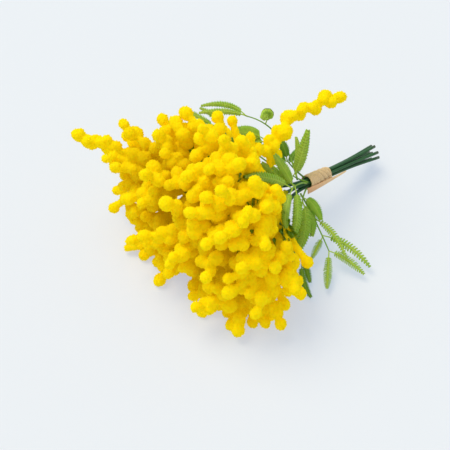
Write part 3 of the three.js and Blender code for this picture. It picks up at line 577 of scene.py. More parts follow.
@dataclass
class Layout:
    """Where everything in the bunch goes, in millimetres from the tie's centre."""

    tie_centre: Array
    bunch: Bunch = field(default_factory=Bunch)
    line_steps: int = 12
    raceme_seed: int = 17
    stem_diameter: float = 2.8
    stem_below_tie: float = 80.0
    stem_below_tie_variation: float = 4.0
    stem_ends_radius: float = 6.6
    stem_widens: Pair = (0.55, 0.2)
    stem_lead: float = 3.0
    stem_join: float = 0.3
    neck: float = 45.0
    neck_spread: float = 0.4
    neck_turn: float = 0.6
    band_length: float = 27.0
    axis_short_of_rim: float = 42.0
    axis_straight: float = 0.45
    axis_radius: float = 2.0
    core_stations: tuple[tuple[float, float], ...] = ((0.3, 0.03), (0.55, 0.1), (0.85, 0.1), (1.1, 0.05))
    core_shares: tuple[float, ...] = (0.0, 0.33, 0.67)
    core_above_surface: float = 9.0
    core_apart: float = 3.0

    def __post_init__(self) -> None:
        """Lists the sprays and lays the stems, the main axes and their cores."""
        self.room = Room()
        self.sprays = [
            Spray("middle", None, 0.12, 270),
            Spray("left", 18, 0.7, 0),
            Spray("top_left", 78, 0.66, 58),
            Spray("top_right", 138, 0.62, 128),
            Spray("right", 198, 0.72, 188),
            Spray("low_right", 258, 0.7, 238),
            Spray("low_left", 318, 0.7, 302),
        ]
        self.spray_named = {spray.name: spray for spray in self.sprays}
        draw = Draw(self.raceme_seed)
        for spray in self.sprays:
            self.lay_axis(spray, draw)
        for spray in self.sprays:
            self.lay_core(spray)

    def racemes(self) -> list[Raceme]:
        """Every spray's racemes."""
        return [raceme for spray in self.sprays for raceme in spray.racemes]

    def stem_curve(self, spray: Spray, length: float) -> Wire:
        """A stem's course from its cut end, through the tie, to the flowers' axis.

        Args:
            spray: the spray on the stem.
            length: how far the stem reaches below the tie.

        Returns:
            The course.
        """
        along = self.bunch.along
        place = vec(0, 0, 0) if spray.slot is None else self.bunch.outward(spray.slot)
        in_tie = place * (self.stem_diameter + self.bunch.gap)
        at_ends = place * self.stem_ends_radius
        half = self.band_length / 2
        widens_at, widens_share = self.stem_widens
        return Wire(
            [
                at_ends - along * length,
                lerp(in_tie, at_ends, widens_share) - along * (widens_at * length),
                in_tie - along * (half + self.stem_lead),
                in_tie - along * (half / 2),
                in_tie + along * (half / 2),
                in_tie + along * (half + self.stem_lead),
                spray.base - spray.start * (self.stem_join * self.neck),
                spray.base - spray.start * self.bunch.gap,
            ]
        )

    def lay_axis(self, spray: Spray, draw: Draw) -> None:
        """Lays a spray's stem and main axis.

        Args:
            spray: the spray.
            draw: gives the stem's length.
        """
        bunch = self.bunch
        rim = bunch.skin(spray.share, spray.roll)
        spray.towards = unit(rim)
        spray.base = unit(bunch.skin(self.neck_spread * spray.share, spray.roll)) * self.neck
        spray.start = unit(lerp(bunch.along, spray.towards, self.neck_turn))
        tip = bunch.lifted(spray.towards * (far(rim) - self.axis_short_of_rim), AXIS_LIFT)
        straight = self.axis_straight * far(tip - spray.base)
        spray.axis = Bend(spray.base, bunch.lifted(spray.base + spray.start * straight, AXIS_LIFT), tip)
        length = draw.about(self.stem_below_tie, self.stem_below_tie_variation)
        spray.stem = self.stem_curve(spray, length)
        spray.stem_line = spray.stem.points(2 * self.line_steps)
        spray.axis_line = spray.axis.points(self.line_steps)
        self.room.add_line(spray.name, spray.stem_line, self.stem_diameter / 2)
        self.room.add_line(spray.name, spray.axis_line, self.axis_radius)

    def core_radius(self, spray: Spray, centre: Array, share: float) -> float:
        """How far a spray keeps others away from a point of its main axis.

        Args:
            spray: the spray.
            centre: the point of its axis.
            share: the radius that is wanted, as a share of the way from the tie.

        Returns:
            The radius that there is room for.
        """
        others = [other.axis_line for other in self.sprays if other is not spray]
        nearest = min(line_distance(centre, line) for line in others)
        above = centre[2] - self.bunch.surface - self.core_above_surface
        room = min((nearest - self.core_apart) / 2, above)
        return max(self.axis_radius / 2, min(share * far(centre), room))

    def lay_core(self, spray: Spray) -> None:
        """Keeps the dense middle of a spray free of the others.

        Args:
            spray: the spray.
        """
        rings = []
        for place, share in self.core_stations:
            inside = min(place, 1.0)
            beyond = (place - inside) * spray.axis.length
            centre = spray.axis.point(inside) + spray.axis.tangent(inside) * beyond
            rings.append((centre, self.core_radius(spray, centre, share)))
        for (start, first), (end, second) in zip(rings, rings[1:]):
            for share in self.core_shares:
                core = (lerp(start, end, share), lerp(first, second, share))
                spray.cores.append(core)
                self.room.add_spot(spray.name, *core)


@dataclass
class LeafRule:
    """How leaves lie: on a stem's neck, with pinnae that are turned until they have room."""

    layout: Layout
    face: Triple = (-0.37, -0.44, 0.82)
    rachis_radius: float = 0.85
    spot_radius: float = 0.9
    spots_along: int = 12
    spots_across: tuple[float, ...] = (-0.8, -0.4, 0.0, 0.4, 0.8)
    tilts: tuple[float, ...] = (0, 8, -8, 16, -16, 26, -26)
    bare: float = 0.15
    outline_start: float = 0.08
    outline_run: float = 0.88
    outline_forward: float = 0.85
    outline_fullness: float = 0.5
    search_steps: int = 90
    open_places: tuple[float, ...] = (0.1, 0.4, 0.7, 1.0)
    open_heights: tuple[float, ...] = (9, 20, 32)
    open_radius: float = 6.0
    open_room: float = 6.0
    sight_places: Sequence[float] = tuple(np.linspace(0.05, 1, 9))

    def __post_init__(self) -> None:
        """Lays all the leaves: first each rachis, then the pinnae, then the room over them."""
        self.face_to = unit(vec(*self.face))
        self.leaves = WANTED_LEAVES
        for leaf in self.leaves:
            self.lay_rachis(leaf)
        for leaf in self.leaves:
            for wanted in leaf.wanted:
                self.lay_pinna(leaf, wanted)
        for leaf in self.leaves:
            if leaf.is_open:
                self.keep_open(leaf)

    def owner(self, leaf: Leaf) -> str:
        """The name under which a leaf takes room, which is also its node's."""
        return "leaf_" + leaf.name

    def blade_half_width(self, pinna: Pinna, place: float) -> float:
        """Half the width of a blade: bare at first, widest near its middle, round at the tip.

        Args:
            pinna: the blade.
            place: the place along its midrib, from 0 to 1.

        Returns:
            The half width in millimetres.
        """
        if place <= self.bare:
            return 0.0
        run = (place - self.bare) / (1 - self.bare)
        phase = (self.outline_start + self.outline_run * run) ** self.outline_forward
        return pinna.half * math.sin(math.pi * phase) ** self.outline_fullness

    def stem_point(self, stem: Wire, distance: float) -> Array:
        """The point of a stem at a distance from the tie, along the bunch's axis."""
        points = stem.points(self.search_steps)
        return points[int(np.abs(points @ self.layout.bunch.along - distance).argmin())]

    def lay_rachis(self, leaf: Leaf) -> None:
        """Lays a leaf's rachis from the neck of its stem.

        Args:
            leaf: the leaf.
        """
        layout = self.layout
        clear = layout.stem_diameter / 2 + layout.bunch.gap + self.rachis_radius
        on_stem = self.stem_point(layout.spray_named[leaf.stem].stem, leaf.start)
        foot = on_stem + layout.bunch.outward(leaf.side) * clear
        leaf.rachis = Bend(foot, vec(*leaf.via), vec(*leaf.to))
        layout.room.add_line(self.owner(leaf), leaf.rachis.points(layout.line_steps), self.rachis_radius)

    def pinna_at(self, leaf: Leaf, wanted: Wanted, tilt: float) -> Pinna:
        """One pinna, turned about the rachis.

        Args:
            leaf: the leaf that carries it.
            wanted: the pinna as it is wanted.
            tilt: the turn in radians.

        Returns:
            The pinna.
        """
        foot = leaf.rachis.point(wanted.place)
        turn = np.array(Matrix.Rotation(tilt, 3, Vector(leaf.rachis.tangent(wanted.place))))
        via, tip = (foot + turn @ (vec(*place) - foot) for place in (wanted.via, wanted.to))
        return Pinna(Bend(foot, via, tip), wanted.half)

    def pinna_spots(self, pinna: Pinna) -> Array:
        """The spots that stand for a pinna's blade where room is looked for.

        Args:
            pinna: the pinna.

        Returns:
            The spots, one to a row.
        """
        spots = []
        for step in range(1, self.spots_along + 1):
            place = step / self.spots_along
            across = unit(np.cross(pinna.curve.tangent(place), self.face_to))
            half = self.blade_half_width(pinna, place)
            spots += [pinna.curve.point(place) + across * (share * half) for share in self.spots_across]
        return np.array(spots)

    def lay_pinna(self, leaf: Leaf, wanted: Wanted) -> None:
        """Lays a pinna, turned about the rachis until it is clear, or leaves it out.

        Args:
            leaf: the leaf that carries it.
            wanted: the pinna as it is wanted.
        """
        room = self.layout.room
        for tilt in self.tilts:
            pinna = self.pinna_at(leaf, wanted, math.radians(tilt))
            spots = self.pinna_spots(pinna)
            if room.is_clear(self.owner(leaf), spots, self.spot_radius, self.layout.bunch.gap):
                leaf.pinnae.append(pinna)
                for spot in spots:
                    room.add_spot(self.owner(leaf), spot, self.spot_radius)
                return

    def keep_open(self, leaf: Leaf) -> None:
        """Keeps free what lies over a leaf, so that no flower hides it.

        Args:
            leaf: the leaf.
        """
        room = self.layout.room
        for pinna in leaf.pinnae:
            for place in self.open_places:
                for height in self.open_heights:
                    spot = pinna.curve.point(place) + self.face_to * height
                    if room.is_clear(self.owner(leaf), spot, self.open_radius, self.open_room):
                        room.add_spot(self.owner(leaf), spot, self.open_radius)

    def places_in_sight(self) -> Array:
        """The places all along the blades of the leaves that are to stay in sight, one to a row."""
        curves = [pinna.curve for leaf in self.leaves if leaf.is_open for pinna in leaf.pinnae]
        return np.array([curve.point(place) for curve in curves for place in self.sight_places])


@dataclass
class RacemeRule:
    """How racemes lie: from a spray's main axis to tips on rings over the head."""

    layout: Layout
    rings: tuple[Ring, ...] = (
        Ring(1.0, 0.3, 6),
        Ring(1.0, 0.52, 10),
        Ring(1.0, 0.78, 14),
        Ring(0.98, 1.0, 18),
        Ring(0.84, 1.02, 15),
        Ring(0.7, 1.0, 14),
        Ring(0.62, 0.7, 6),
    )
    spread_variation: float = 0.05
    reach_variation: float = 0.04
    roll_variation: float = 70.0
    length: float = 52.0
    radius: float = 1.6
    feet: Pair = (0.05, 0.97)
    foot_shifts: tuple[float, ...] = (0, 0.15, -0.15, 0.3, -0.3, 0.45, -0.45)
    bulge: float = 0.12
    left_foot: float = 0.8
    left_tip: Triple = (40, 2, 214)
    left_arch: float = 3.0
    left_turn: float = 1.0
    thrown_back_foot: float = 0.2
    thrown_back_via: Triple = (-38, 43, 73)
    thrown_back_tip: Triple = (32, 14, 72)
    thrown_back_turn: float = 0.5

    def add(self, spray: Spray, curve: Bend, turn: float, thrown_back: bool = False) -> None:
        """Adds a raceme, whose balls go round it from a turn in radians, to a spray."""
        spray.racemes.append(Raceme(spray, curve, turn, curve.points(self.layout.line_steps), thrown_back))
        self.layout.room.add_line(spray.name, spray.racemes[-1].line, self.radius)

    def lay_strays(self) -> None:
        """Lays the two racemes that reach out of the head."""
        left = self.layout.spray_named["left"]
        top_left = self.layout.spray_named["top_left"]
        foot = left.axis.point(self.left_foot)
        spread, roll, reach = self.left_tip
        tip = self.layout.bunch.heading(spread, roll) * reach
        self.add(left, Bend(foot, lerp(foot, tip, 0.5) + vec(0, 0, self.left_arch), tip), self.left_turn)
        foot = top_left.axis.point(self.thrown_back_foot)
        curve = Bend(foot, vec(*self.thrown_back_via), vec(*self.thrown_back_tip))
        self.add(top_left, curve, self.thrown_back_turn, thrown_back=True)

    def curve_to(self, spray: Spray, wanted: float, tip: Array) -> Bend | None:
        """A raceme's course to its tip, from the first place where its way is clear.

        Args:
            spray: the spray that carries it.
            wanted: the place on the main axis that it would leave from.
            tip: where it ends.

        Returns:
            The course, or None if there is no clear way.
        """
        for shift in self.foot_shifts:
            place = clamp(wanted + shift, *self.feet)
            foot = spray.axis.point(place)
            via = lerp(foot, tip, 0.5) + spray.axis.tangent(place) * (self.bulge * far(tip - foot))
            curve = Bend(foot, self.layout.bunch.lifted(via, RACEME_LIFT), tip)
            points = curve.points(self.layout.line_steps)
            if self.layout.room.is_clear(spray.name, points, self.radius, 2 * self.layout.bunch.gap):
                return curve
        return None

    def lay(self, rings: Sequence[Ring], seed: int, has_leaders: bool) -> None:
        """Draws the racemes' tips, ring by ring, and lays each from the nearest spray.

        Args:
            rings: the rings of tips.
            seed: the seed of the draw.
            has_leaders: whether each spray's main axis goes on in a raceme.
        """
        bunch = self.layout.bunch
        draw = Draw(seed)
        tips: dict[str, list[tuple[Array, float]]] = {spray.name: [] for spray in self.layout.sprays}
        for ring in rings:
            phase = 360 * draw.next()
            for index in range(ring.count):
                spread = draw.about(ring.spread, self.spread_variation)
                roll = phase + 360 * index / ring.count + draw.about(0, self.roll_variation / ring.count)
                reach = draw.about(ring.reach, self.reach_variation)
                turn = FULL_TURN * draw.next()
                point = bunch.lifted(bunch.skin(spread, roll, reach), TIP_LIFT)
                direction = unit(point)
                nearest = max(self.layout.sprays, key=lambda spray: float(np.dot(direction, spray.towards)))
                tips[nearest.name].append((point, turn))
        for spray in self.layout.sprays:
            self.lay_tips(spray, sorted(tips[spray.name], key=lambda tip: far(tip[0])))
            if has_leaders:
                self.lay_leader(spray)

    def lay_tips(self, spray: Spray, tips: list[tuple[Array, float]]) -> None:
        """Lays a spray's racemes, which leave its axis in turn, the furthest last.

        Args:
            spray: the spray.
            tips: each raceme's tip and turn, in order of distance.
        """
        neck = self.layout.neck
        run = far(spray.axis.end) - neck
        for index, (point, turn) in enumerate(tips):
            even = lerp(*self.feet, (index + 0.5) / len(tips))
            wanted = (far(point) - self.length - neck) / run
            curve = self.curve_to(spray, (even + wanted) / 2, point)
            if curve:
                self.add(spray, curve, turn)

    def lay_leader(self, spray: Spray) -> None:
        """Lays the raceme that goes on from the end of a spray's main axis.

        Args:
            spray: the spray.
        """
        end = spray.axis.end
        leader = end + spray.axis.tangent(1) * self.layout.axis_short_of_rim
        leader = self.layout.bunch.lifted(leader, TIP_LIFT)
        self.add(spray, Bend(end, lerp(end, leader, 0.5), leader), spray.roll)


@dataclass(frozen=True)
class Bridge:
    """A raceme that closes a gap in the head: its spray, its foot on the axis and its course."""

    spray: str
    foot: float
    via: Triple
    tip: Triple


@dataclass
class BallRule:
    """How balls lie along the racemes, and how further ones fill the head."""

    layout: Layout
    racemes: RacemeRule
    leaves: LeafRule
    seed: int = 16
    radius_low: float = 6.7
    radius_tip: float = 4.9
    radius_variation: float = 0.75
    step: float = 12.0
    bare: float = 7.0
    offset: float = 0.8
    rest: float = 0.8
    turn_variation: float = 0.3
    steep: float = 0.9
    nearest_flower: float = 80.0
    core_clear: float = 0.9
    crowding: float = 0.95
    between_seed: int = 41
    between_step: float = 6.0
    between_offset: float = 0.45
    between_smaller: float = 0.6
    merging: float = 0.42
    apart: float = 0.84
    filler_seed: int = 29
    filler_rings: tuple[Ring, ...] = (
        Ring(0.92, 0.16, 5),
        Ring(0.93, 0.42, 9),
        Ring(0.93, 0.66, 12),
        Ring(0.9, 0.88, 15),
        Ring(0.8, 0.84, 12),
        Ring(0.72, 0.95, 12),
        Ring(0.62, 0.9, 10),
        Ring(0.74, 0.45, 8),
        Ring(0.64, 0.7, 9),
    )
    bridges: tuple[Bridge, ...] = (
        Bridge("low_left", 0.85, (-132, 55, -12), (-147, 80, -18)),
        Bridge("low_left", 0.7, (-128, 50, -6), (-137, 68, -6)),
        Bridge("left", 0.8, (-135, 70, 16), (-150, 74, 2)),
    )
    loose_seed: int = 53
    loose_tries: int = 1500
    loose_stalk: float = 10.0
    loose_reach: Pair = (0.93, 0.5)
    loose_outward: float = 1.3
    loose_spread: float = 0.95
    loose_radius: float = 5.6
    loose_radius_variation: float = 0.8
    sight_room: float = 7.0

    def __post_init__(self) -> None:
        """Places the balls: the part's own first, then those between and inside."""
        layout = self.layout
        self.face_to = self.leaves.face_to
        self.in_sight = self.leaves.places_in_sight()
        self.lay_own()
        own = layout.racemes()
        self.lay_between(own)
        self.racemes.lay(self.filler_rings, self.filler_seed, False)
        for bridge in self.bridges:
            spray = layout.spray_named[bridge.spray]
            curve = Bend(spray.axis.point(bridge.foot), vec(*bridge.via), vec(*bridge.tip))
            self.racemes.add(spray, curve, 0.0)
        known = {id(raceme) for raceme in own}
        filling = [raceme for raceme in layout.racemes() if id(raceme) not in known]
        draw = Draw(self.filler_seed)
        for raceme in filling:
            for ball, _ in self.wanted(raceme, draw):
                self.put(raceme, ball, self.has_soft_room)
        self.lay_between(filling)
        self.lay_loose()

    def side_guide(self, curve: Bend) -> Array:
        """The direction, square to a curve's chord, from which turns about the curve are counted."""
        chord, bunch = unit(curve.end - curve.start), self.layout.bunch
        return square_to(chord, bunch.upright if abs(chord[2]) < self.steep else bunch.sideways)

    def ball_at(self, raceme: Raceme, distance: float, radius: float, turn: float, offset: float) -> Ball:
        """A ball on a raceme.

        Args:
            raceme: the raceme that carries it.
            distance: how far along the raceme it is.
            radius: its radius.
            turn: its turn about the raceme, in radians.
            offset: how far it is set off from the axis, in radii.

        Returns:
            The ball.
        """
        tangent = raceme.curve.direction(distance)
        first = square_to(tangent, self.side_guide(raceme.curve))
        foot = raceme.curve.at(distance)
        centre = foot + turned(first, np.cross(tangent, first), turn) * (offset * radius)
        centre[2] = max(centre[2], self.layout.bunch.surface + self.rest * radius)
        return Ball(centre, radius, distance, foot)

    def wanted(self, raceme: Raceme, draw: Draw) -> list[tuple[Ball, bool]]:
        """The balls that a raceme would carry.

        Args:
            raceme: the raceme.
            draw: gives their sizes and turns.

        Returns:
            Each ball, and whether it is the one at the tip.
        """
        count = max(0, int((raceme.curve.length - self.bare) / self.step))
        made = []
        for index in range(count + 1):
            is_tip = index == count
            size = lerp(self.radius_low, self.radius_tip, index / max(count, 1))
            radius = draw.about(size, self.radius_variation)
            turn = raceme.turn + index * GOLDEN_TURN + draw.about(0, self.turn_variation)
            distance = raceme.curve.length - (count - index) * self.step
            made.append((self.ball_at(raceme, distance, radius, turn, 0 if is_tip else self.offset), is_tip))
        return made

    def lay_own(self) -> None:
        """Places the part's own balls, the tips first, so that the furthest stay."""
        draw = Draw(self.seed)
        wanted = [(raceme, *made) for raceme in self.layout.racemes() for made in self.wanted(raceme, draw)]
        for tips_only in (True, False):
            for raceme, ball, is_tip in wanted:
                if is_tip == tips_only:
                    self.put(raceme, ball, self.has_room)

    def put(self, raceme: Raceme, ball: Ball, has_room: Callable[[Raceme, Ball], bool]) -> None:
        """Places a ball if it has room.

        Args:
            raceme: the raceme that carries it.
            ball: the ball.
            has_room: the rule that tells whether it has room.
        """
        if has_room(raceme, ball):
            raceme.balls.append(ball)
            self.layout.room.add_spot(raceme.spray.name, ball.centre, ball.radius)

    def closeness(self, ball: Ball, near: Ball) -> float:
        """The distance between two balls, by the sum of their radii."""
        return far(near.centre - ball.centre) / (near.radius + ball.radius)

    def has_room(self, raceme: Raceme, ball: Ball) -> bool:
        """Tells whether a ball is clear of other pieces and crowds no other raceme.

        Args:
            raceme: the raceme that carries it.
            ball: the ball.

        Returns:
            True if it has room.
        """
        layout, spray, centre, radius = self.layout, raceme.spray, ball.centre, ball.radius
        if far(centre) < self.nearest_flower and not raceme.thrown_back:
            return False
        if not layout.room.is_clear(spray.name, centre, radius, 2 * layout.bunch.gap):
            return False
        if line_distance(centre, spray.stem_line) < radius + layout.stem_diameter / 2 + layout.bunch.gap:
            return False
        if any(far(core - centre) < wide + self.core_clear * radius for core, wide in spray.cores):
            return False
        for other in spray.racemes:
            if other is not raceme:
                if line_distance(centre, other.line) < self.crowding * radius + self.racemes.radius:
                    return False
                if any(self.closeness(ball, near) <= self.crowding for near in other.balls):
                    return False
        return True

    def has_soft_room(self, raceme: Raceme, ball: Ball) -> bool:
        """Tells whether a filling ball hides no open leaf and is not too near others.

        Args:
            raceme: the raceme that carries it.
            ball: the ball.

        Returns:
            True if it has room.
        """
        layout, centre, radius = self.layout, ball.centre, ball.radius
        is_near = far(centre) < self.nearest_flower
        if not raceme.thrown_back and (is_near or self.hides_leaf(centre, radius)):
            return False
        if layout.room.touches("leaf_", centre, radius):
            return False
        for other in layout.racemes():
            share = self.merging if other is raceme else self.apart
            if any(self.closeness(ball, near) < share for near in other.balls):
                return False
        return min(line_distance(centre, other.stem_line) for other in layout.sprays) > radius

    def hides_leaf(self, centre: Array, radius: float) -> bool:
        """Tells whether a ball would stand over an open leaf, from where the leaves face.

        Args:
            centre: the ball's centre.
            radius: its radius.

        Returns:
            True if it would hide a blade.
        """
        shift = centre - self.in_sight
        over = shift @ self.face_to
        aside = np.linalg.norm(shift - over[:, None] * self.face_to, axis=1)
        return bool(((over > -radius) & (aside < self.sight_room)).any())

    def lay_between(self, racemes: Sequence[Raceme]) -> None:
        """Places further balls all along racemes, which grow together with their neighbours.

        Args:
            racemes: the racemes.
        """
        draw = Draw(self.between_seed)
        for raceme in racemes:
            if not raceme.balls:
                continue
            count = max(0, int((raceme.curve.length - self.bare) / self.between_step))
            for index in range(count):
                size = lerp(self.radius_low, self.radius_tip, index / max(count, 1))
                radius = draw.about(size - self.between_smaller, self.radius_variation)
                turn = raceme.turn + index * GOLDEN_TURN + math.pi
                distance = raceme.curve.length - (count - index - 0.5) * self.between_step
                ball = self.ball_at(raceme, distance, radius, turn, self.between_offset)
                self.put(raceme, ball, self.has_soft_room)

    def nearest_foot(self, point: Array) -> tuple[float, Raceme, Array]:
        """The point of a raceme that is nearest to a point.

        Args:
            point: the point.

        Returns:
            How far it is, the raceme and the nearest point on it.
        """
        best = (math.inf, None, None)
        for raceme in self.layout.racemes():
            away = np.linalg.norm(raceme.line - point, axis=1)
            index = int(away.argmin())
            if away[index] < best[0]:
                best = (float(away[index]), raceme, raceme.line[index])
        return best

    def lay_loose(self) -> None:
        """Fills the head's outer layers with balls on short stalks."""
        draw = Draw(self.loose_seed)
        bunch = self.layout.bunch
        for _ in range(self.loose_tries):
            spread = math.sqrt(draw.next()) * self.loose_spread
            roll = 360 * draw.next()
            reach = lerp(*self.loose_reach, draw.next() ** self.loose_outward)
            radius = draw.about(self.loose_radius, self.loose_radius_variation)
            point = bunch.lifted(bunch.skin(spread, roll, reach), TIP_LIFT)
            away, raceme, foot = self.nearest_foot(point)
            if away <= self.loose_stalk:
                point[2] = max(point[2], bunch.surface + self.rest * radius)
                self.put(raceme, Ball(point, radius, 0.0, foot), self.has_soft_room)


# --- shapes from primitives


@dataclass
class Shape:
    """The points of a shape and its triangles, modelled once from a primitive and then copied."""

    points: Array
    faces: Array

    @property
    def turn(self) -> Array:
        """Each point's angle about Z."""
        return np.arctan2(self.points[:, 1], self.points[:, 0])

    @property
    def wide(self) -> Array:
        """Each point's distance from Z."""
        return np.hypot(self.points[:, 0], self.points[:, 1])

    @property
    def high(self) -> Array:
        """Each point's height."""
        return self.points[:, 2]

    @staticmethod
    def shaped(add: Callable, steps: int = 0, **sizes: float | str | tuple) -> Shape:
        """Adds a primitive, extrudes a flat one to height 1, and takes it in triangles.

        Args:
            add: the operator that adds it.
            steps: how many even steps it is extruded by.
            sizes: its sizes.

        Returns:
            The shape.
        """
        bpy.ops.object.select_all(action="DESELECT")
        add(**sizes)
        bpy.ops.object.transform_apply(location=True)
        bpy.ops.object.mode_set(mode="EDIT")
        bpy.ops.mesh.select_all(action="SELECT")
        for _ in range(steps):
            bpy.ops.mesh.extrude_region_move(TRANSFORM_OT_translate={"value": (0, 0, 1 / steps)})
        bpy.ops.mesh.select_all(action="SELECT")
        bpy.ops.mesh.normals_make_consistent(inside=False)
        bpy.ops.mesh.quads_convert_to_tris()
        bpy.ops.object.mode_set(mode="OBJECT")
        thing = bpy.context.object
        mesh = thing.data
        points = np.array([corner.co[:] for corner in mesh.vertices])
        faces = np.array([list(face.vertices) for face in mesh.polygons])
        bpy.data.objects.remove(thing)
        bpy.data.meshes.remove(mesh)
        return Shape(points, faces)

    @staticmethod
    @cache
    def tube(sides: int, steps: int) -> Shape:
        """A closed tube of radius 1 that stands on the origin, from height 0 to 1."""
        sizes = {"vertices": sides, "radius": 1, "fill_type": "TRIFAN"}
        return Shape.shaped(bpy.ops.mesh.primitive_circle_add, steps, **sizes)

    @staticmethod
    @cache
    def globe(detail: int) -> Shape:
        """A ball of radius 1 in even triangles, divided so often."""
        return Shape.shaped(bpy.ops.mesh.primitive_ico_sphere_add, subdivisions=detail, radius=1)

    @staticmethod
    @cache
    def ring(around: int, across: int) -> Shape:
        """A ring of radius 1 about Z, with a round section."""
        sizes = {"major_segments": around, "minor_segments": across, "major_radius": 1, "minor_radius": 0.25}
        return Shape.shaped(bpy.ops.mesh.primitive_torus_add, **sizes)

    @staticmethod
    @cache
    def leaflet() -> Shape:
        """A small blade from 0 to 1 along X, half wide at Y, and 1 thick."""
        sizes = {"vertices": 8, "radius": 0.5, "fill_type": "TRIFAN", "location": (0.5, 0, 0)}
        return Shape.shaped(bpy.ops.mesh.primitive_circle_add, 1, **sizes)


class Slot(Enum):
    """The slots of colours."""

    FLOWERS = "flowers"
    LEAVES = "leaves"
    STEMS = "stems"
    RAFFIA = "raffia"


class Body:
    """A mesh in the making: points, triangles and the dress that the finish reads."""

    def __init__(self, layout: Layout) -> None:
        """Starts empty."""
        self.layout, self.count = layout, 0
        self.points, self.faces, self.dress = [], [], []

    def add(self, points: Array, faces: Array, dress: Dress | Array) -> None:
        """Adds a shape.

        Args:
            points: its points in millimetres from the tie's centre.
            faces: its triangles.
            dress: four numbers from 0 to 1 for each point, or for all of them.
        """
        self.points.append(points)
        self.faces.append(faces + self.count)
        self.dress.append(np.broadcast_to(dress, (len(points), 4)))
        self.count += len(points)

    def tube(self, curve: Curve, radii: Pair, grid: Grid, guide: Array, dress: Dressing) -> None:
        """Adds a strap with a round section, whose radius goes from the first to the second."""
        self.strap(curve, lambda place: (*(lerp(*radii, place),) * 2, 0.0), grid, guide, dress)

    def strap(
        self, curve: Curve, section: Callable[[float], Triple], grid: Grid, guide: Array, dress: Dressing
    ) -> None:
        """Adds a strap along a curve, with a half width, a half thickness and a fold.

        Args:
            curve: the strap's middle.
            section: gives half width, half thickness and fold at a place from 0 to 1.
            grid: how many sides its section has, and how many pieces it has along its length.
            guide: the direction that the strap's face looks to.
            dress: four numbers, or a function that gives them at a place.
        """
        sides, steps = grid
        shape = Shape.tube(sides, steps)
        rows = np.rint(shape.high * steps).astype(int)
        middles, acrosses, ups, sections, dresses = [], [], [], [], []
        for row in range(steps + 1):
            place = row / steps
            forward = curve.tangent(place)
            up = square_to(forward, guide)
            middles.append(curve.point(place))
            acrosses.append(np.cross(forward, up))
            ups.append(up)
            sections.append(section(place))
            dresses.append(dress(place) if callable(dress) else dress)
        half_width, half_thick, fold = np.array(sections)[rows].T
        side = np.cos(shape.turn) * shape.wide * half_width
        rise = np.sin(shape.turn) * shape.wide * half_thick - fold * np.abs(side)
        points = np.array(middles)[rows]
        points = points + np.array(acrosses)[rows] * side[:, None] + np.array(ups)[rows] * rise[:, None]
        self.add(points, shape.faces, np.array(dresses, float)[rows])

    def build(
        self, name: str, node: str | None, material: bpy.types.Material, slot: Slot
    ) -> bpy.types.Object:
        """Makes the object, rides it on the bunch and lets it take its node's place.

        Args:
            name: the piece's name.
            node: the node that it replaces, if any.
            material: its finish.
            slot: the slot of colours that it belongs to; not used.

        Returns:
            The object.
        """
        points = np.concatenate(self.points)
        points[:, 2] = np.maximum(points[:, 2], self.layout.bunch.surface)
        points = (points + self.layout.tie_centre) * METRES
        mesh = bpy.data.meshes.new(name)
        mesh.from_pydata(points.tolist(), [], np.concatenate(self.faces).tolist())
        dress = mesh.color_attributes.new("dress", "FLOAT_COLOR", "POINT")
        dress.data.foreach_set("color", np.concatenate(self.dress).astype(np.float32).ravel())
        mesh.polygons.foreach_set("use_smooth", [True] * len(mesh.polygons))
        mesh.update()
        thing = bpy.data.objects.new(name, mesh)
        bpy.context.scene.collection.objects.link(thing)
        mesh.materials.append(material)
        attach(thing, "root")
        if node:
            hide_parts(node)
        LOG.info("%s: %d triangles", name, len(mesh.polygons))
        return thing


# --- finishes


class Value:
    """A socket's value in a shader, which is reckoned with as a number is."""

    def __init__(self, shader: Shader, socket: bpy.types.NodeSocket) -> None:
        """Wraps an output socket."""
        self.shader, self.socket = shader, socket

    def reckon(self, operation: str, *values: Value | float) -> Value:
        """A Math node's result for some values."""
        return self.shader.node("ShaderNodeMath", {"operation": operation}, dict(enumerate(values)))

    def __add__(self, other: Value | float) -> Value:
        """The sum."""
        return self.reckon("ADD", self, other)

    def __radd__(self, other: float) -> Value:
        """The sum."""
        return self.reckon("ADD", other, self)

    def __sub__(self, other: Value | float) -> Value:
        """The difference."""
        return self.reckon("SUBTRACT", self, other)

    def __rsub__(self, other: float) -> Value:
        """The difference."""
        return self.reckon("SUBTRACT", other, self)

    def __mul__(self, other: Value | float) -> Value:
        """The product."""
        return self.reckon("MULTIPLY", self, other)

    def __rmul__(self, other: float) -> Value:
        """The product."""
        return self.reckon("MULTIPLY", other, self)

    def held(self) -> Value:
        """The value, kept between 0 and 1."""
        return self.reckon("MAXIMUM", self.reckon("MINIMUM", self, 1.0), 0.0)

    def beside(self, output: int | str) -> Value:
        """The value of another output of the same node."""
        return Value(self.shader, self.socket.node.outputs[output])


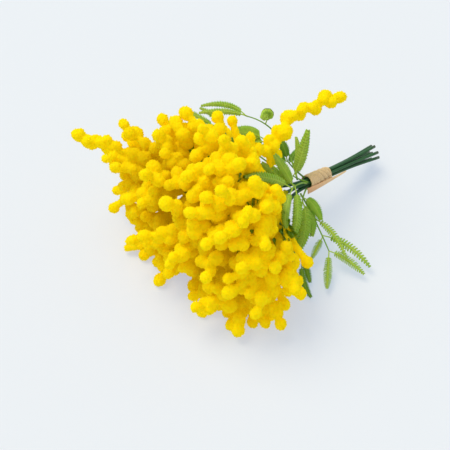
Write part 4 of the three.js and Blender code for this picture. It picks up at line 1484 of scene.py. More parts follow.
class Shader:
    """A material in the making."""

    def __init__(self, name: str) -> None:
        """Starts a material with its output and its surface.

        Args:
            name: the material's name.
        """
        self.material = bpy.data.materials.new(name)
        self.material.use_nodes = True
        self.nodes = self.material.node_tree.nodes
        self.links = self.material.node_tree.links
        self.nodes.clear()
        self.surface = self.nodes.new("ShaderNodeBsdfPrincipled")
        output = self.nodes.new("ShaderNodeOutputMaterial")
        self.links.new(self.surface.outputs["BSDF"], output.inputs["Surface"])

    def feed(self, socket: bpy.types.NodeSocket, value: Value | Triple | float) -> None:
        """Gives an input socket its value or its link.

        Args:
            socket: the input.
            value: a value to link, a colour or a number.
        """
        if isinstance(value, Value):
            self.links.new(value.socket, socket)
        elif isinstance(value, tuple):
            socket.default_value = (*value, 1.0)[: len(socket.default_value)]
        else:
            socket.default_value = value

    def node(self, kind: str, settings: dict, inputs: dict, output: int | str = 0) -> Value:
        """Adds a node.

        Args:
            kind: its type.
            settings: its own settings.
            inputs: what its sockets take, by name or number.
            output: the name or number of the output.

        Returns:
            The output's value.
        """
        made = self.nodes.new(kind)
        for key, value in settings.items():
            setattr(made, key, value)
        for key, value in inputs.items():
            self.feed(made.inputs[key], value)
        return Value(self, made.outputs[output])

    def mix(self, share: Value, first: Value | Triple, second: Value | Triple) -> Value:
        """A colour between two colours."""
        return self.node("ShaderNodeMix", {"data_type": "RGBA"}, {0: share, 6: first, 7: second}, 2)

    def dress(self) -> tuple[Value, Value, Value, Value]:
        """The four numbers that the mesh carries.

        Returns:
            Their values, in order.
        """
        colour = self.node("ShaderNodeAttribute", {"attribute_name": "dress"}, {}, "Color")
        first = self.node("ShaderNodeSeparateColor", {}, {0: colour})
        return first, first.beside(1), first.beside(2), colour.beside("Alpha")

    def noise(
        self, scale: float, detail: float = 2.0, roughness: float = 0.5, vector: Value | None = None
    ) -> Value:
        """A noise from 0 to 1, read at the place in the object if no vector is given."""
        values = (vector or self.node("ShaderNodeTexCoord", {}, {}, "Object"), scale, detail, roughness)
        return self.node("ShaderNodeTexNoise", {}, dict(zip(NOISE_SOCKETS, values)))

    def bump(self, height: Value, strength: float, distance: float) -> Value:
        """A normal that is raised by a height."""
        inputs = {"Strength": strength, "Distance": distance, "Height": height}
        return self.node("ShaderNodeBump", {}, inputs)

    def finish(self, inputs: dict[str, Value | Triple | float]) -> bpy.types.Material:
        """Feeds the surface's sockets.

        Args:
            inputs: what the sockets take, by name.

        Returns:
            The material.
        """
        for name, value in inputs.items():
            self.feed(self.surface.inputs[name], value)
        return self.material


@dataclass(frozen=True)
class FlowerFinish:
    """Flocked yellow, with painted shade that turns it darker and more orange deeper inside the head."""

    bright: Triple = (0.985, 0.735, 0.003)
    warm: Triple = (0.96, 0.68, 0.001)
    # the colour of the painted shade deep inside the head
    painted_shade: Triple = (0.60, 0.385, 0.001)
    green: Triple = (0.20, 0.26, 0.01)
    grain_scale: float = 900.0
    shade: float = 0.9
    # strength of the painted glow, which lifts the flowers' shade
    painted_glow: float = 0.18

    def made(self) -> bpy.types.Material:
        """Makes the material.

        Returns:
            The material.
        """
        shader = Shader("flocked_yellow")
        tone, depth, fibre, leafy = shader.dress()
        grain = shader.noise(self.grain_scale, 3.0, 0.65)
        # Random tone and grain, and a painted highlight that makes the raised flock tips a little brighter.
        base = shader.mix((tone * 0.6 + grain * 0.4 + fibre * 0.15).held(), self.warm, self.bright)
        # Painted shade: darker and more orange by depth under the head's skin.
        base = shader.mix((depth * self.shade).held(), base, self.painted_shade)
        base = shader.mix(leafy, base, self.green)
        return shader.finish(
            {
                "Base Color": base,
                "Roughness": 0.95,
                "Specular IOR Level": 0.04,
                "Subsurface Weight": 0.4,
                "Subsurface Radius": (1.0, 0.6, 0.02),
                "Subsurface Scale": 0.0016,
                "Sheen Weight": 0.2,
                "Sheen Roughness": 0.6,
                "Sheen Tint": (1.0, 0.86, 0.02),
                # Painted light: the flowers glow a little in their own colour.
                "Emission Color": base,
                "Emission Strength": self.painted_glow,
                "Normal": shader.bump(grain, 0.35, 0.0005),
            }
        )


@dataclass(frozen=True)
class LeafFinish:
    """Moulded plastic leaf, mid green with lighter ribs, and painted shade that turns it dark green where a
    leaf lies in shade.
    """

    light: Triple = (0.50, 0.69, 0.08)
    middle: Triple = (0.19, 0.47, 0.015)
    # the dark green of the painted shade
    painted_shade: Triple = (0.035, 0.15, 0.003)
    cloud_scale: float = 60.0
    grain_scale: float = 700.0

    def made(self) -> bpy.types.Material:
        """Makes the material.

        Returns:
            The material.
        """
        shader = Shader("moulded_leaf")
        tone, rib, _, inside = shader.dress()
        cloud = shader.noise(self.cloud_scale)
        base = shader.mix((tone * 0.7 + cloud * 1.1 - 0.5).held(), self.middle, self.light)
        base = shader.mix(rib * 0.5, base, self.light)
        # Painted shade: darker green for leaves under the flowers, the rachis and the leaflets' edges.
        base = shader.mix(inside, base, self.painted_shade)
        fine = shader.noise(self.grain_scale)
        return shader.finish(
            {
                "Base Color": base,
                "Roughness": 0.3 + fine * 0.14,
                "Specular IOR Level": 0.3,
                "Subsurface Weight": 0.2,
                "Subsurface Radius": (0.5, 1.0, 0.1),
                "Subsurface Scale": 0.001,
                "Normal": shader.bump(fine, 0.25, 0.0003),
            }
        )


@dataclass(frozen=True)
class StemFinish:
    """Dark green plastic over wire, with a dull shine."""

    dark: Triple = (0.008, 0.055, 0.014)
    light: Triple = (0.03, 0.15, 0.04)
    end: Triple = (0.10, 0.13, 0.07)
    streak_scale: float = 120.0
    grain_scale: float = 500.0

    def made(self) -> bpy.types.Material:
        """Makes the material.

        Returns:
            The material.
        """
        shader = Shader("stem_plastic")
        tone, cut, _, _ = shader.dress()
        streak = shader.noise(self.streak_scale, 3.0)
        base = shader.mix((streak * 0.8 + tone * 0.3).held(), self.dark, self.light)
        base = shader.mix(cut, base, self.end)
        fine = shader.noise(self.grain_scale)
        return shader.finish(
            {
                "Base Color": base,
                "Roughness": 0.3 + fine * 0.2,
                "Specular IOR Level": 0.4,
                "Normal": shader.bump(fine, 0.2, 0.0003),
            }
        )


@dataclass(frozen=True)
class RaffiaFinish:
    """Dry raffia: tan fibres, with painted shade in the creases, under the turns' edges and along the seam,
    and a redder loose end.
    """

    pale: Triple = (1.0, 0.80, 0.46)
    tan: Triple = (0.86, 0.56, 0.27)
    painted_shade_brown: Triple = (0.20, 0.09, 0.03)
    ruddy: Triple = (0.78, 0.40, 0.20)
    fibre_long: float = 3.0
    fibre_wide: float = 40.0

    def made(self) -> bpy.types.Material:
        """Makes the material.

        Returns:
            The material.
        """
        shader = Shader("raffia")
        across, crease, ruddy, run = shader.dress()
        sides = {0: run * self.fibre_long, 1: across * self.fibre_wide, 2: ruddy}
        fibre = shader.noise(1.6, 4.0, 0.6, shader.node("ShaderNodeCombineXYZ", {}, sides))
        base = shader.mix((fibre * 2.4 - 0.7).held(), self.tan, self.pale)
        base = shader.mix(ruddy * 0.8, base, self.ruddy)
        # Painted shade: brown where the band's second number says.
        base = shader.mix(crease, base, self.painted_shade_brown)
        return shader.finish(
            {
                "Base Color": base,
                "Roughness": 0.55 + fibre * 0.2,
                "Specular IOR Level": 0.35,
                "Normal": shader.bump(fibre, 0.8, 0.0005),
            }
        )


# --- makers of pieces


@dataclass
class SprayMaker:
    """Builds the flocked sprays: axes and balls grown together under one furry skin."""

    layout: Layout
    rule: BallRule
    material: bpy.types.Material
    seed: int = 300
    voxel: float = 0.96
    ball_detail: int = 3
    lump: float = 0.04
    lump_fineness: float = 2.2
    grown: Pair = (0.88, 1.04)
    drawn_out: float = 0.12
    axis_grid: Grid = (10, 24)
    axis_radii: Pair = (2.4, 2.4)
    axis_green_to: float = 3.5
    raceme_grid: Grid = (8, 12)
    raceme_radii: Pair = (3.1, 2.9)
    stalk_grid: Grid = (6, 4)
    stalk_radii: Pair = (2.6, 2.6)
    stalk_arch: float = 0.6
    smoothing: float = 0.5
    smoothing_rounds: int = 3
    fur: Pair = (0.45, 1.1)
    fur_between: float = 0.12
    # the depth under the head's skin over which the painted shade comes in
    deep_from: float = 4.0
    deep_to: float = 36.0
    axis_tone: float = 0.5
    raceme_tone: float = 0.6
    tone_variation: float = 0.35

    def build(self) -> None:
        """Builds every spray."""
        for number, spray in enumerate(self.layout.sprays):
            body = Body(self.layout)
            self.add_axis(body, spray)
            draw = np.random.default_rng(self.seed + number)
            for raceme in spray.racemes:
                if raceme.balls:
                    self.add_raceme(body, raceme)
                for ball in raceme.balls:
                    self.add_ball(body, raceme, ball, draw)
            thing = body.build("flocked_" + spray.name, "spray_" + spray.name, self.material, Slot.FLOWERS)
            self.fuse(thing)
            self.flock(thing, draw)
            LOG.info("%s: %d faces when flocked", thing.name, len(thing.data.polygons))

    def depth_share(self, point: Array) -> float:
        """How deep inside the head a point is, from 0 to 1, by which the finish paints shade."""
        depth = self.layout.bunch.depth(point)
        return clamp((depth - self.deep_from) / (self.deep_to - self.deep_from))

    def add_axis(self, body: Body, spray: Spray) -> None:
        """Adds a spray's main axis, which starts green.

        Args:
            body: what it is added to.
            spray: the spray.
        """

        def dress(place: float) -> Dress:
            """The dress at a place along the axis."""
            shade = self.depth_share(spray.axis.point(place))
            return (self.axis_tone, shade, 0.0, clamp(1 - self.axis_green_to * place))

        body.tube(spray.axis, self.axis_radii, self.axis_grid, self.rule.side_guide(spray.axis), dress)

    def add_raceme(self, body: Body, raceme: Raceme) -> None:
        """Adds a raceme's axis, as thick as its flock makes it.

        Args:
            body: what it is added to.
            raceme: the raceme.
        """

        def dress(place: float) -> Dress:
            """The dress at a place along the raceme."""
            return (self.raceme_tone, self.depth_share(raceme.curve.point(place)), 0.0, 0.0)

        guide = self.rule.side_guide(raceme.curve)
        body.tube(raceme.curve, self.raceme_radii, self.raceme_grid, guide, dress)

    def add_ball(self, body: Body, raceme: Raceme, ball: Ball, draw: np.random.Generator) -> None:
        """Adds a ball, a little lumpy and drawn out along its raceme, and its stalk.

        Args:
            body: what it is added to.
            raceme: the raceme that carries it.
            ball: the ball.
            draw: gives its lumps, its size and its tone.
        """
        share = self.depth_share(ball.centre)
        globe = Shape.globe(self.ball_detail)
        waves = draw.normal(0, self.lump_fineness, (3, 3))
        lumps = np.sin(globe.points @ waves.T + draw.uniform(0, FULL_TURN, 3)).sum(1)
        placed = globe.points * (ball.radius * draw.uniform(*self.grown) * (1 + self.lump * lumps))[:, None]
        way = raceme.curve.direction(ball.distance) if ball.distance else unit(ball.centre - ball.foot)
        placed += (placed @ way * self.drawn_out)[:, None] * way
        placed += ball.centre
        tone = clamp(self.raceme_tone + draw.uniform(-self.tone_variation, self.tone_variation))
        body.add(placed, globe.faces, (tone, share, 0.0, 0.0))
        if far(ball.centre - ball.foot) > self.rule.offset * ball.radius + self.stalk_radii[0]:
            via = lerp(ball.foot, ball.centre, 0.5) + vec(0, 0, self.stalk_arch)
            stalk = Bend(ball.foot, via, ball.centre)
            dress = (self.axis_tone, share, 0.0, 0.0)
            body.tube(stalk, self.stalk_radii, self.stalk_grid, self.rule.side_guide(stalk), dress)

    def fuse(self, thing: bpy.types.Object) -> None:
        """Grows the axes and the balls together under one even skin.

        Args:
            thing: the spray.
        """
        bpy.ops.object.select_all(action="DESELECT")
        bpy.context.view_layer.objects.active = thing
        thing.select_set(True)
        thing.data.use_remesh_preserve_attributes = True
        thing.data.remesh_voxel_size = self.voxel * METRES
        bpy.ops.object.voxel_remesh()
        bpy.ops.object.mode_set(mode="EDIT")
        bpy.ops.mesh.select_all(action="SELECT")
        bpy.ops.mesh.vertices_smooth(factor=self.smoothing, repeat=self.smoothing_rounds)
        bpy.ops.object.mode_set(mode="OBJECT")

    def flock(self, thing: bpy.types.Object, draw: np.random.Generator) -> None:
        """Raises single points all over the skin, as the tips of the flock.

        Args:
            thing: the fused spray.
            draw: gives which points are raised, and how far.
        """
        mesh = thing.data
        count = len(mesh.vertices)
        points = np.empty((count, 3), np.float32)
        normals = np.empty((count, 3), np.float32)
        ends = np.empty((len(mesh.edges), 2), np.int32)
        mesh.vertices.foreach_get("co", points.ravel())
        mesh.vertex_normals.foreach_get("vector", normals.ravel())
        mesh.edges.foreach_get("vertices", ends.ravel())
        chance = draw.random(count)
        highest = np.zeros(count)
        np.maximum.at(highest, ends[:, 0], chance[ends[:, 1]])
        np.maximum.at(highest, ends[:, 1], chance[ends[:, 0]])
        is_tip = chance > highest
        raised = draw.uniform(*self.fur, count)
        height = np.where(is_tip, raised, draw.uniform(-self.fur_between, self.fur_between, count))
        points += normals * (height * METRES)[:, None]
        points[:, 2] = np.maximum(points[:, 2], 0)
        mesh.vertices.foreach_set("co", points.ravel())
        dress = np.empty((count, 4), np.float32)
        mesh.color_attributes["dress"].data.foreach_get("color", dress.ravel())
        # the third number marks the tips, which the finish paints brighter as a highlight
        dress[:, 2] = is_tip
        mesh.color_attributes["dress"].data.foreach_set("color", dress.ravel())
        mesh.update()


@dataclass
class StemMaker:
    """Builds the plastic-covered stems."""

    layout: Layout
    material: bpy.types.Material
    grid: Grid = (14, 48)
    rim: float = 0.25
    tone: float = 0.5
    bare_end: float = 0.8

    def build(self) -> None:
        """Builds every stem."""

        def dress(place: float) -> Dress:
            """The dress at a place along the stem."""
            return (self.tone, self.bare_end if place == 0 else 0.0, 0.0, 0.0)

        radius = self.layout.stem_diameter / 2
        guide = self.layout.bunch.upright
        for spray in self.layout.sprays:
            body = Body(self.layout)
            body.tube(spray.stem, (radius, radius), self.grid, guide, dress)
            self.dish(body.points[0], spray.stem)
            body.build("wire_" + spray.name, "stem_" + spray.name, self.material, Slot.STEMS)

    def dish(self, points: Array, stem: Wire) -> None:
        """Presses the middle of a stem's cut end in a little."""
        away = np.linalg.norm(points - stem.point(0), axis=1)
        points[away < self.rim] += stem.tangent(0) * self.rim


@dataclass(frozen=True)
class LeafLook:
    """A leaf's tone, its web's share of its width, its painted shade and how broad its leaflets make it."""

    tone: float
    web: float
    shade: float
    breadth: float
    folded: int | None = None


@dataclass
class LeafMaker:
    """Builds the moulded leaves: rachis, midribs, webs and leaflets."""

    layout: Layout
    rule: LeafRule
    material: bpy.types.Material
    seed: int = 500
    leaflets: int = 17
    leaflet_thickness: float = 0.42
    leaflet_wide: float = 0.68
    leaflet_lengths: Pair = (0.95, 1.04)
    lean: float = 0.42
    lean_variation: float = 0.07
    lean_at_tip: float = 0.5
    fold: float = 0.26
    fold_variation: float = 0.05
    folded_web: float = 2.4
    web_grid: Grid = (8, 14)
    web_to: float = 0.97
    web_least: float = 0.3
    web_thickness: float = 0.16
    web_rib: float = 0.1
    blade_tone_variation: float = 0.12
    leaflet_tone_variation: float = 0.25
    leaflet_rib: float = 0.25
    # painted shade along the leaflets' edges, where they overlap
    edge_shade: float = 0.45
    rachis_grid: Grid = (8, 14)
    rachis_narrows: float = 0.6
    rachis_tone: float = 0.3
    # painted shade on the rachis, which sits in shade under the flowers
    rachis_shade: float = 0.35
    midrib_grid: Grid = (6, 14)
    midrib_radii: Pair = (0.62, 0.26)
    midrib_rib: float = 0.9
    # for the leaves that lie under the flowers, a lower tone and the third number paint shade
    looks: dict[str, LeafLook] = field(
        default_factory=lambda: {
            "star": LeafLook(0.6, 0.7, 0.0, 1.2),
            "upright": LeafLook(0.85, 0.74, 0.0, 1.15),
            "down": LeafLook(0.6, 0.7, 0.0, 1.3),
            "fold": LeafLook(0.55, 0.8, 0.0, 1.4),
            "top": LeafLook(0.85, 0.6, 0.0, 0.85, folded=2),
            "right": LeafLook(0.95, 0.3, 0.0, 1.1),
            "under": LeafLook(0.3, 0.7, 0.6, 1.1),
            "back": LeafLook(0.3, 0.7, 0.4, 1.2),
            "low": LeafLook(0.3, 0.5, 0.4, 1.1),
            "far": LeafLook(0.85, 0.5, 0.0, 1.0),
        }
    )

    def build(self) -> None:
        """Builds every leaf."""
        for number, leaf in enumerate(self.rule.leaves):
            body = Body(self.layout)
            draw = np.random.default_rng(self.seed + number)
            look = self.looks[leaf.name]
            self.add_rachis(body, leaf, look)
            for index, pinna in enumerate(leaf.pinnae):
                tone = clamp(look.tone + draw.uniform(-self.blade_tone_variation, self.blade_tone_variation))
                web = look.web * (self.folded_web if index == look.folded else 1.0)
                blade = LeafLook(tone, web, look.shade, look.breadth)
                self.add_web(body, pinna, blade)
                self.add_leaflets(body, pinna, blade, draw)
            body.build("blades_" + leaf.name, "leaf_" + leaf.name, self.material, Slot.LEAVES)

    def add_rachis(self, body: Body, leaf: Leaf, look: LeafLook) -> None:
        """Adds a leaf's rachis, which narrows to its end.

        Args:
            body: what it is added to.
            leaf: the leaf.
            look: the leaf's look.
        """
        radii = (self.rule.rachis_radius, self.rachis_narrows * self.rule.rachis_radius)
        # Painted shade: the rachis is darker than its blades.
        dress = (self.rachis_tone, self.rachis_tone, 0.0, clamp(look.shade + self.rachis_shade))
        body.tube(leaf.rachis, radii, self.rachis_grid, self.rule.face_to, dress)

    def add_web(self, body: Body, pinna: Pinna, look: LeafLook) -> None:
        """Adds a pinna's midrib and the thin web that its leaflets stand on.

        Args:
            body: what they are added to.
            pinna: the pinna.
            look: the blade's look.
        """

        def web(place: float) -> Triple:
            """The web's half width, half thickness and fold at a place."""
            half = look.web * look.breadth * self.rule.blade_half_width(pinna, min(place, self.web_to))
            return (max(self.web_least, half), self.web_thickness, self.fold)

        face = self.rule.face_to
        rib_dress = (look.tone, self.midrib_rib, 0.0, look.shade)
        web_dress = (look.tone, self.web_rib, 0.0, look.shade)
        body.tube(pinna.curve, self.midrib_radii, self.midrib_grid, face, rib_dress)
        body.strap(pinna.curve, web, self.web_grid, face, web_dress)

    def add_leaflets(self, body: Body, pinna: Pinna, look: LeafLook, draw: np.random.Generator) -> None:
        """Adds the leaflets on both sides of a pinna's midrib.

        Args:
            body: what they are added to.
            pinna: the pinna.
            look: the blade's look.
            draw: gives how each leaflet differs.
        """
        curve = pinna.curve
        spacing = (1 - self.rule.bare) / self.leaflets
        wide = spacing * curve.length * self.leaflet_wide
        for index in range(self.leaflets):
            place = self.rule.bare + (index + 0.5) * spacing
            forward = curve.tangent(place)
            across = unit(np.cross(forward, self.rule.face_to))
            up = np.cross(across, forward)
            half = self.rule.blade_half_width(pinna, place) * look.breadth
            for hand in (-1, 1):
                fold = self.fold + draw.uniform(-self.fold_variation, self.fold_variation)
                lean = self.lean + draw.uniform(-self.lean_variation, self.lean_variation)
                reach = turned(unit(across * hand - up * fold), forward, lean + self.lean_at_tip * place**4)
                length = half * draw.uniform(*self.leaflet_lengths)
                self.add_leaflet(body, look, draw, (curve.point(place), forward, up, reach), (length, wide))

    def add_leaflet(
        self,
        body: Body,
        look: LeafLook,
        draw: np.random.Generator,
        pose: tuple[Array, Array, Array, Array],
        size: tuple[float, float],
    ) -> None:
        """Adds one leaflet.

        Args:
            body: what it is added to.
            look: the blade's look.
            draw: gives its tone.
            pose: its foot, then the midrib's direction, the blade's upward one and its own.
            size: its length and its width.
        """
        foot, forward, up, reach = pose
        length, wide = size
        along, across, high = Shape.leaflet().points.T
        broad = unit(np.cross(np.cross(reach, forward), reach))
        over = np.cross(reach, broad)
        over = over * math.copysign(1.0, float(np.dot(over, up)))
        points = foot + reach * (along * length)[:, None] + broad * (across * wide)[:, None]
        points = points + over * ((high - 0.5) * self.leaflet_thickness)[:, None]
        tone = clamp(look.tone + draw.uniform(-self.leaflet_tone_variation, self.leaflet_tone_variation))
        rib = self.leaflet_rib * (1 - along)
        # Painted shade: darker towards each leaflet's edges, where the leaflets overlap.
        shade = np.clip(look.shade + self.edge_shade * (2 * across) ** 2, 0, 1)
        dress = np.column_stack([np.full(len(along), tone), rib, along, shade])
        body.add(points, Shape.leaflet().faces, dress)


@dataclass
class BractMaker:
    """Builds the small green leaves inside the head, which show between the flowers."""

    layout: Layout
    material: bpy.types.Material
    seed: int = 801
    places: tuple[float, ...] = (0.15, 0.32, 0.5, 0.7)
    length: float = 15.0
    half_width: float = 3.4
    least_width: float = 0.3
    thickness: float = 0.3
    fold: float = 0.25
    arch: float = 1.5
    sideways: float = 0.6
    leans: Pair = (0.7, 1.3)
    face_forward: float = 0.3
    least_depth: float = 7.0
    furthest: float = 130.0
    grid: Grid = (4, 5)
    # the fourth number is painted shade, for leaves deep among the flowers
    dress: Dress = (0.4, 0.1, 0.0, 0.65)

    def build(self) -> None:
        """Builds all of them as one piece."""
        body = Body(self.layout)
        draw = np.random.default_rng(self.seed)
        for raceme in self.layout.racemes():
            if raceme.balls and not raceme.thrown_back:
                for place in self.places:
                    self.add(body, raceme, place, draw)
        body.build("green_bracts", None, self.material, Slot.LEAVES)

    def add(self, body: Body, raceme: Raceme, place: float, draw: np.random.Generator) -> None:
        """Adds one, which stands off a raceme towards the head's skin, where it has room.

        Args:
            body: what it is added to.
            raceme: the raceme that carries it.
            place: the place along the raceme, from 0 to 1.
            draw: gives its direction.
        """
        bunch = self.layout.bunch
        foot = raceme.curve.point(place)
        forward = raceme.curve.tangent(place)
        side = square_to(forward, bunch.upright + draw.normal(0, self.sideways, 3))
        tip = foot + turned(forward, side, draw.uniform(*self.leans)) * self.length
        if tip[2] < bunch.surface + self.length or bunch.depth(tip) < self.least_depth:
            return
        if far(tip) > self.furthest:
            return

        def section(at: float) -> Triple:
            """The half width, half thickness and fold at a place."""
            width = lerp(self.least_width, 1.0, math.sin(math.pi * at))
            return (self.half_width * width, self.thickness, self.fold)

        curve = Bend(foot, lerp(foot, tip, 0.5) + side * self.arch, tip)
        face = np.cross(forward, side) + forward * self.face_forward
        body.strap(curve, section, self.grid, face, self.dress)


@dataclass(frozen=True)
class Wave:
    """A wave over the band: its height, its count and phase over a turn's width, and how it wanders."""

    height: float
    count: float
    phase: float
    wanders: float
    round_band: float

    def over(self, step: Array, around: Array) -> Array:
        """Its height at shares of a turn's width, at angles round the band."""
        wandering = self.wanders * np.sin(self.round_band * around)
        return self.height * np.sin(step * self.count + self.phase + wandering)


@dataclass
class RaffiaMaker:
    """Builds the wound band and its loose end."""

    layout: Layout
    material: bpy.types.Material
    bore: float = 4.9
    thickness: float = 1.0
    turns: int = 4
    overlap: float = 0.36
    overlap_falls: float = 0.7
    overlap_edge: float = 0.08
    crease: float = 0.2
    fibre_height: float = 0.5
    fibres: tuple[Wave, ...] = (Wave(1.0, 31, 0, 0.7, 3), Wave(0.6, 53, 1.9, 1, 2))
    fold_over: float = 9.0
    fold_shift: float = 2.1
    fold_along: float = 1.1
    flare: float = 0.8
    # the seam: a painted shadow line in the gap beside the loose end, in short dashes
    seam: Pair = (150, 180)
    seam_width: float = 0.32
    seam_dashes: float = 5.0
    seam_dash_depth: float = 0.3
    around: int = 96
    across: int = 128
    lip: float = 0.05
    lip_bulge: float = 0.35
    # painted shade: under each turn's edge, along the creases and in the folds
    edge_dark: float = 0.55
    edge_width: float = 0.07
    fibre_dark: float = 0.3
    fibre_dark_from: float = 0.7
    fold_dark: float = 0.2
    fold_dark_from: float = 0.6
    tail_thickness: float = 0.8
    tail_roll: float = 180.0
    tail_turn: float = -26.0
    tail_fold: float = 0.12
    tail_grid: Grid = (14, 60)
    tail_ruddy: float = 1.1
    tail_at: tuple[float, ...] = (21, 10, -10, -33)
    tail_inner: tuple[float, ...] = (7.4, 7.3, 6.8, 5.6)
    tail_wide: tuple[float, ...] = (5.6, 5.0, 3.2, 1.4)

    def build(self) -> None:
        """Builds both pieces."""
        self.build_band()
        self.build_tail()

    def unrolled(self, shape: Shape) -> tuple[Array, Array, Array]:
        """Where each point of a ring goes on the band's wall.

        Args:
            shape: the ring.

        Returns:
            The distance along the band, the share of the way from its bore to its outer face, and
            how far the point stands out at the band's end.
        """
        half = self.layout.band_length / 2
        section = np.arctan2(shape.high, shape.wide - 1) % FULL_TURN / FULL_TURN
        run = 0.5 - self.lip
        is_high = section < 0.5
        is_outer = section <= run
        is_inner = ~is_high & (section <= 0.5 + run)
        faces = [is_outer, is_inner]
        levels = [section / run, 1 - (section - 0.5) / run]
        level = np.select(faces, levels, default=np.where(is_high, 1.0, 0.0))
        on_lip = np.where(is_high, 1 - (section - run) / self.lip, (section - 0.5 - run) / self.lip)
        outer_share = np.select(faces, [1.0, 0.0], default=on_lip)
        bulge = np.sin(math.pi * outer_share) * self.lip_bulge * np.where(is_high, 1, -1)
        return (level * 2 - 1) * half, outer_share, np.where(is_outer | is_inner, 0.0, bulge)

    def build_band(self) -> None:
        """Builds the band: overlapping diagonal turns round the stems."""
        bunch = self.layout.bunch
        length = self.layout.band_length
        half = length / 2
        shape = Shape.ring(self.around, self.across)
        around = shape.turn
        along, outer_share, bulge = self.unrolled(shape)
        phase = along / length * self.turns + around / FULL_TURN
        step = phase % 1.0
        rise = self.overlap * (1 - step) ** self.overlap_falls * np.clip(step / self.overlap_edge, 0, 1)
        fibres = sum(wave.over(step, around) for wave in self.fibres)
        folds = np.sin(2 * around + self.fold_over * step + np.floor(phase) * self.fold_shift)
        folds = folds + np.sin(3 * around + self.fold_along * along)
        outer = self.bore + self.thickness + rise
        outer = outer + self.crease * fibres * self.fibre_height + self.crease * folds
        lip = np.clip(0.5 - 0.5 * np.cos(math.pi * outer_share), 0, 1)
        radius = lerp(self.bore, outer, lip) + self.flare * (along + half) / length
        along = along + bulge
        points = (
            bunch.along * along[:, None]
            + bunch.sideways * (radius * np.cos(around))[:, None]
            + bunch.upright * (radius * np.sin(around))[:, None]
        )
        # Painted shade under each turn's edge, along the fibre creases and in the folds' hollows.
        shade = np.clip(1 - step / self.edge_width, 0, 1) * self.edge_dark
        shade = shade + np.clip((fibres - self.fibre_dark_from) * self.fibre_dark, 0, self.fibre_dark)
        shade = shade + np.clip(-folds - self.fold_dark_from, 0, 1) * self.fold_dark
        # Painted shadow along the seam beside the loose end, in short dashes.
        seam = np.radians(np.interp(along, (-half, half), self.seam))
        off = (around - seam + math.pi) % FULL_TURN - math.pi
        seam_dash = 1 - self.seam_dash_depth + self.seam_dash_depth * np.sin(along * self.seam_dashes)
        shade = shade + seam_dash * np.exp(-((off * radius / self.seam_width) ** 2))
        dress = np.column_stack([step, np.clip(shade, 0, 1), np.zeros(len(around)), around / FULL_TURN % 1.0])
        body = Body(self.layout)
        body.add(points, shape.faces, dress)
        body.build("raffia_turns", "raffia_band", self.material, Slot.RAFFIA)

    def build_tail(self) -> None:
        """Builds the loose end: a curled strip that lies along the band."""
        bunch = self.layout.bunch
        radial = bunch.outward(self.tail_roll)
        turn = math.radians(self.tail_turn)
        stations = []
        for at, inner, wide in zip(self.tail_at, self.tail_inner, self.tail_wide):
            reach = wide / 2 * abs(math.sin(turn)) + self.tail_thickness / 2
            stations.append(radial * (inner + reach) + bunch.along * at)

        def section(place: float) -> Triple:
            """The strip's half width, half thickness and fold at a place."""
            wide = float(np.interp(place * (len(stations) - 1), range(len(stations)), self.tail_wide))
            return (wide / 2, self.tail_thickness / 2, self.tail_fold)

        def dress(place: float) -> Dress:
            """The dress at a place along the strip."""
            return (0.5, 0.0, clamp(self.tail_ruddy * (1 - place)), place)

        body = Body(self.layout)
        face = turned(radial, np.cross(radial, bunch.along), turn)
        body.strap(Wire(stations), section, self.tail_grid, face, dress)
        body.build("raffia_end", "raffia_tail", self.material, Slot.RAFFIA)


# --- stage


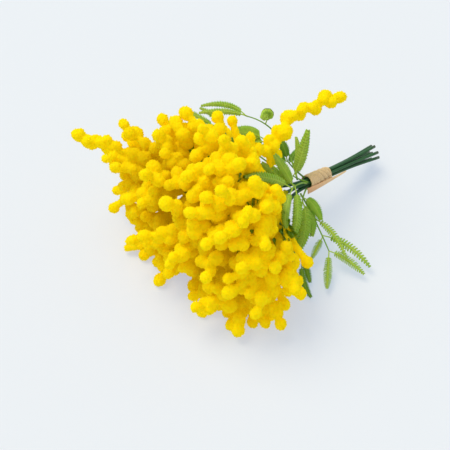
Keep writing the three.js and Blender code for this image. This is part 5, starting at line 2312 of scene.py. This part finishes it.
@dataclass
class Studio:
    """The floor, the light and the camera, in millimetres and degrees but for the floor's metres."""

    layout: Layout
    azimuth: float = -40.0
    elevation: float = 55.0
    lens: float = 72.2
    distance: float = 812.0
    scale: float = 0.9
    tie_right: float = 92.0
    tie_up: float = 47.0
    seen_from: float = 0.01
    seen_to: float = 200.0
    floor_size: float = 100.0
    floor_below: float = 0.0001
    floor_colour: Triple = (0.55, 0.50, 0.36)
    floor_cloud: Triple = (0.56, 0.51, 0.37)
    floor_glow: Triple = (0.262, 0.354, 0.53)
    key_strength: float = 1.52
    key_angle: float = 38.0
    key_colour: Triple = (1.0, 0.985, 0.96)
    key_height: float = 1.25
    key_left: float = 0.55
    key_behind: float = 0.45
    key_away: float = 1.15
    world: Triple = (0.97, 0.985, 1.0)
    world_strength: float = 0.64

    def __post_init__(self) -> None:
        """Works out the camera's own directions."""
        turn, rise = math.radians(self.azimuth), math.radians(self.elevation)
        self.back = vec(math.sin(turn) * math.cos(rise), -math.cos(turn) * math.cos(rise), math.sin(rise))
        self.right = vec(math.cos(turn), math.sin(turn), 0)
        self.up = np.cross(self.back, self.right)

    def build(self) -> None:
        """Sets the whole stage."""
        self.add_floor()
        self.add_world()
        self.add_light()
        self.add_camera()

    def add_floor(self) -> None:
        """Adds the pale floor."""
        bpy.ops.object.select_all(action="DESELECT")
        bpy.ops.mesh.primitive_plane_add(size=self.floor_size, location=(0, 0, -self.floor_below))
        floor = bpy.context.object
        floor.name = "floor"
        shader = Shader("pale_floor")
        cloud = shader.noise(1.5, 1.0)
        inputs = {
            "Base Color": shader.mix(cloud * 0.5, self.floor_colour, self.floor_cloud),
            "Roughness": 0.9,
            "Emission Color": self.floor_glow,
            "Emission Strength": 1.0,
        }
        floor.data.materials.append(shader.finish(inputs))

    def add_world(self) -> None:
        """Adds the pale light from all round."""
        world = bpy.data.worlds.new("pale")
        world.use_nodes = True
        background = world.node_tree.nodes["Background"]
        background.inputs["Color"].default_value = (*self.world, 1.0)
        background.inputs["Strength"].default_value = self.world_strength
        bpy.context.scene.world = world
        bpy.context.scene.view_settings.view_transform = "Standard"

    def add_light(self) -> None:
        """Adds the large soft light, high at the back left."""
        light = bpy.data.lights.new("key", "SUN")
        light.angle = math.radians(self.key_angle)
        light.energy = self.key_strength
        light.color = self.key_colour
        forward = unit(vec(-self.back[0], -self.back[1], 0))
        towards = vec(0, 0, self.key_height) - self.right * self.key_left + forward * self.key_behind
        lamp = bpy.data.objects.new("key", light)
        lamp.location = unit(towards) * self.key_away
        lamp.rotation_euler = Vector(towards).to_track_quat("Z", "Y").to_euler()
        bpy.context.scene.collection.objects.link(lamp)

    def add_camera(self) -> None:
        """Adds the camera, which looks down on the bunch."""
        shift = -self.right * (self.tie_right * self.scale) - self.up * (self.tie_up * self.scale)
        place = (self.layout.tie_centre + shift + self.back * self.distance) * METRES
        camera = bpy.data.cameras.new("camera")
        camera.lens = self.lens
        camera.clip_start = self.seen_from
        camera.clip_end = self.seen_to
        holder = bpy.data.objects.new("camera", camera)
        axes = Matrix([self.right.tolist(), self.up.tolist(), self.back.tolist()]).transposed()
        holder.matrix_world = Matrix.Translation(Vector(place)) @ axes.to_4x4()
        bpy.context.scene.collection.objects.link(holder)
        bpy.context.scene.camera = holder


def main() -> None:
    """Lays out the bunch, builds its pieces and sets the stage."""
    logging.basicConfig(level=logging.INFO, format="%(message)s")
    low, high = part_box("raffia_band")
    layout = Layout(np.array([*(low + high)]) / 2 / METRES)
    racemes = RacemeRule(layout)
    racemes.lay_strays()
    leaves = LeafRule(layout)
    racemes.lay(racemes.rings, layout.raceme_seed, True)
    balls = BallRule(layout, racemes, leaves)
    counts = {spray.name: sum(len(raceme.balls) for raceme in spray.racemes) for spray in layout.sprays}
    LOG.info("balls %s, %d in all", counts, sum(counts.values()))
    SprayMaker(layout, balls, FlowerFinish().made()).build()
    StemMaker(layout, StemFinish().made()).build()
    leaf_finish = LeafFinish().made()
    LeafMaker(layout, leaves, leaf_finish).build()
    BractMaker(layout, leaf_finish).build()
    RaffiaMaker(layout, RaffiaFinish().made()).build()
    Studio(layout).build()


if __name__ == "__main__":
    main()
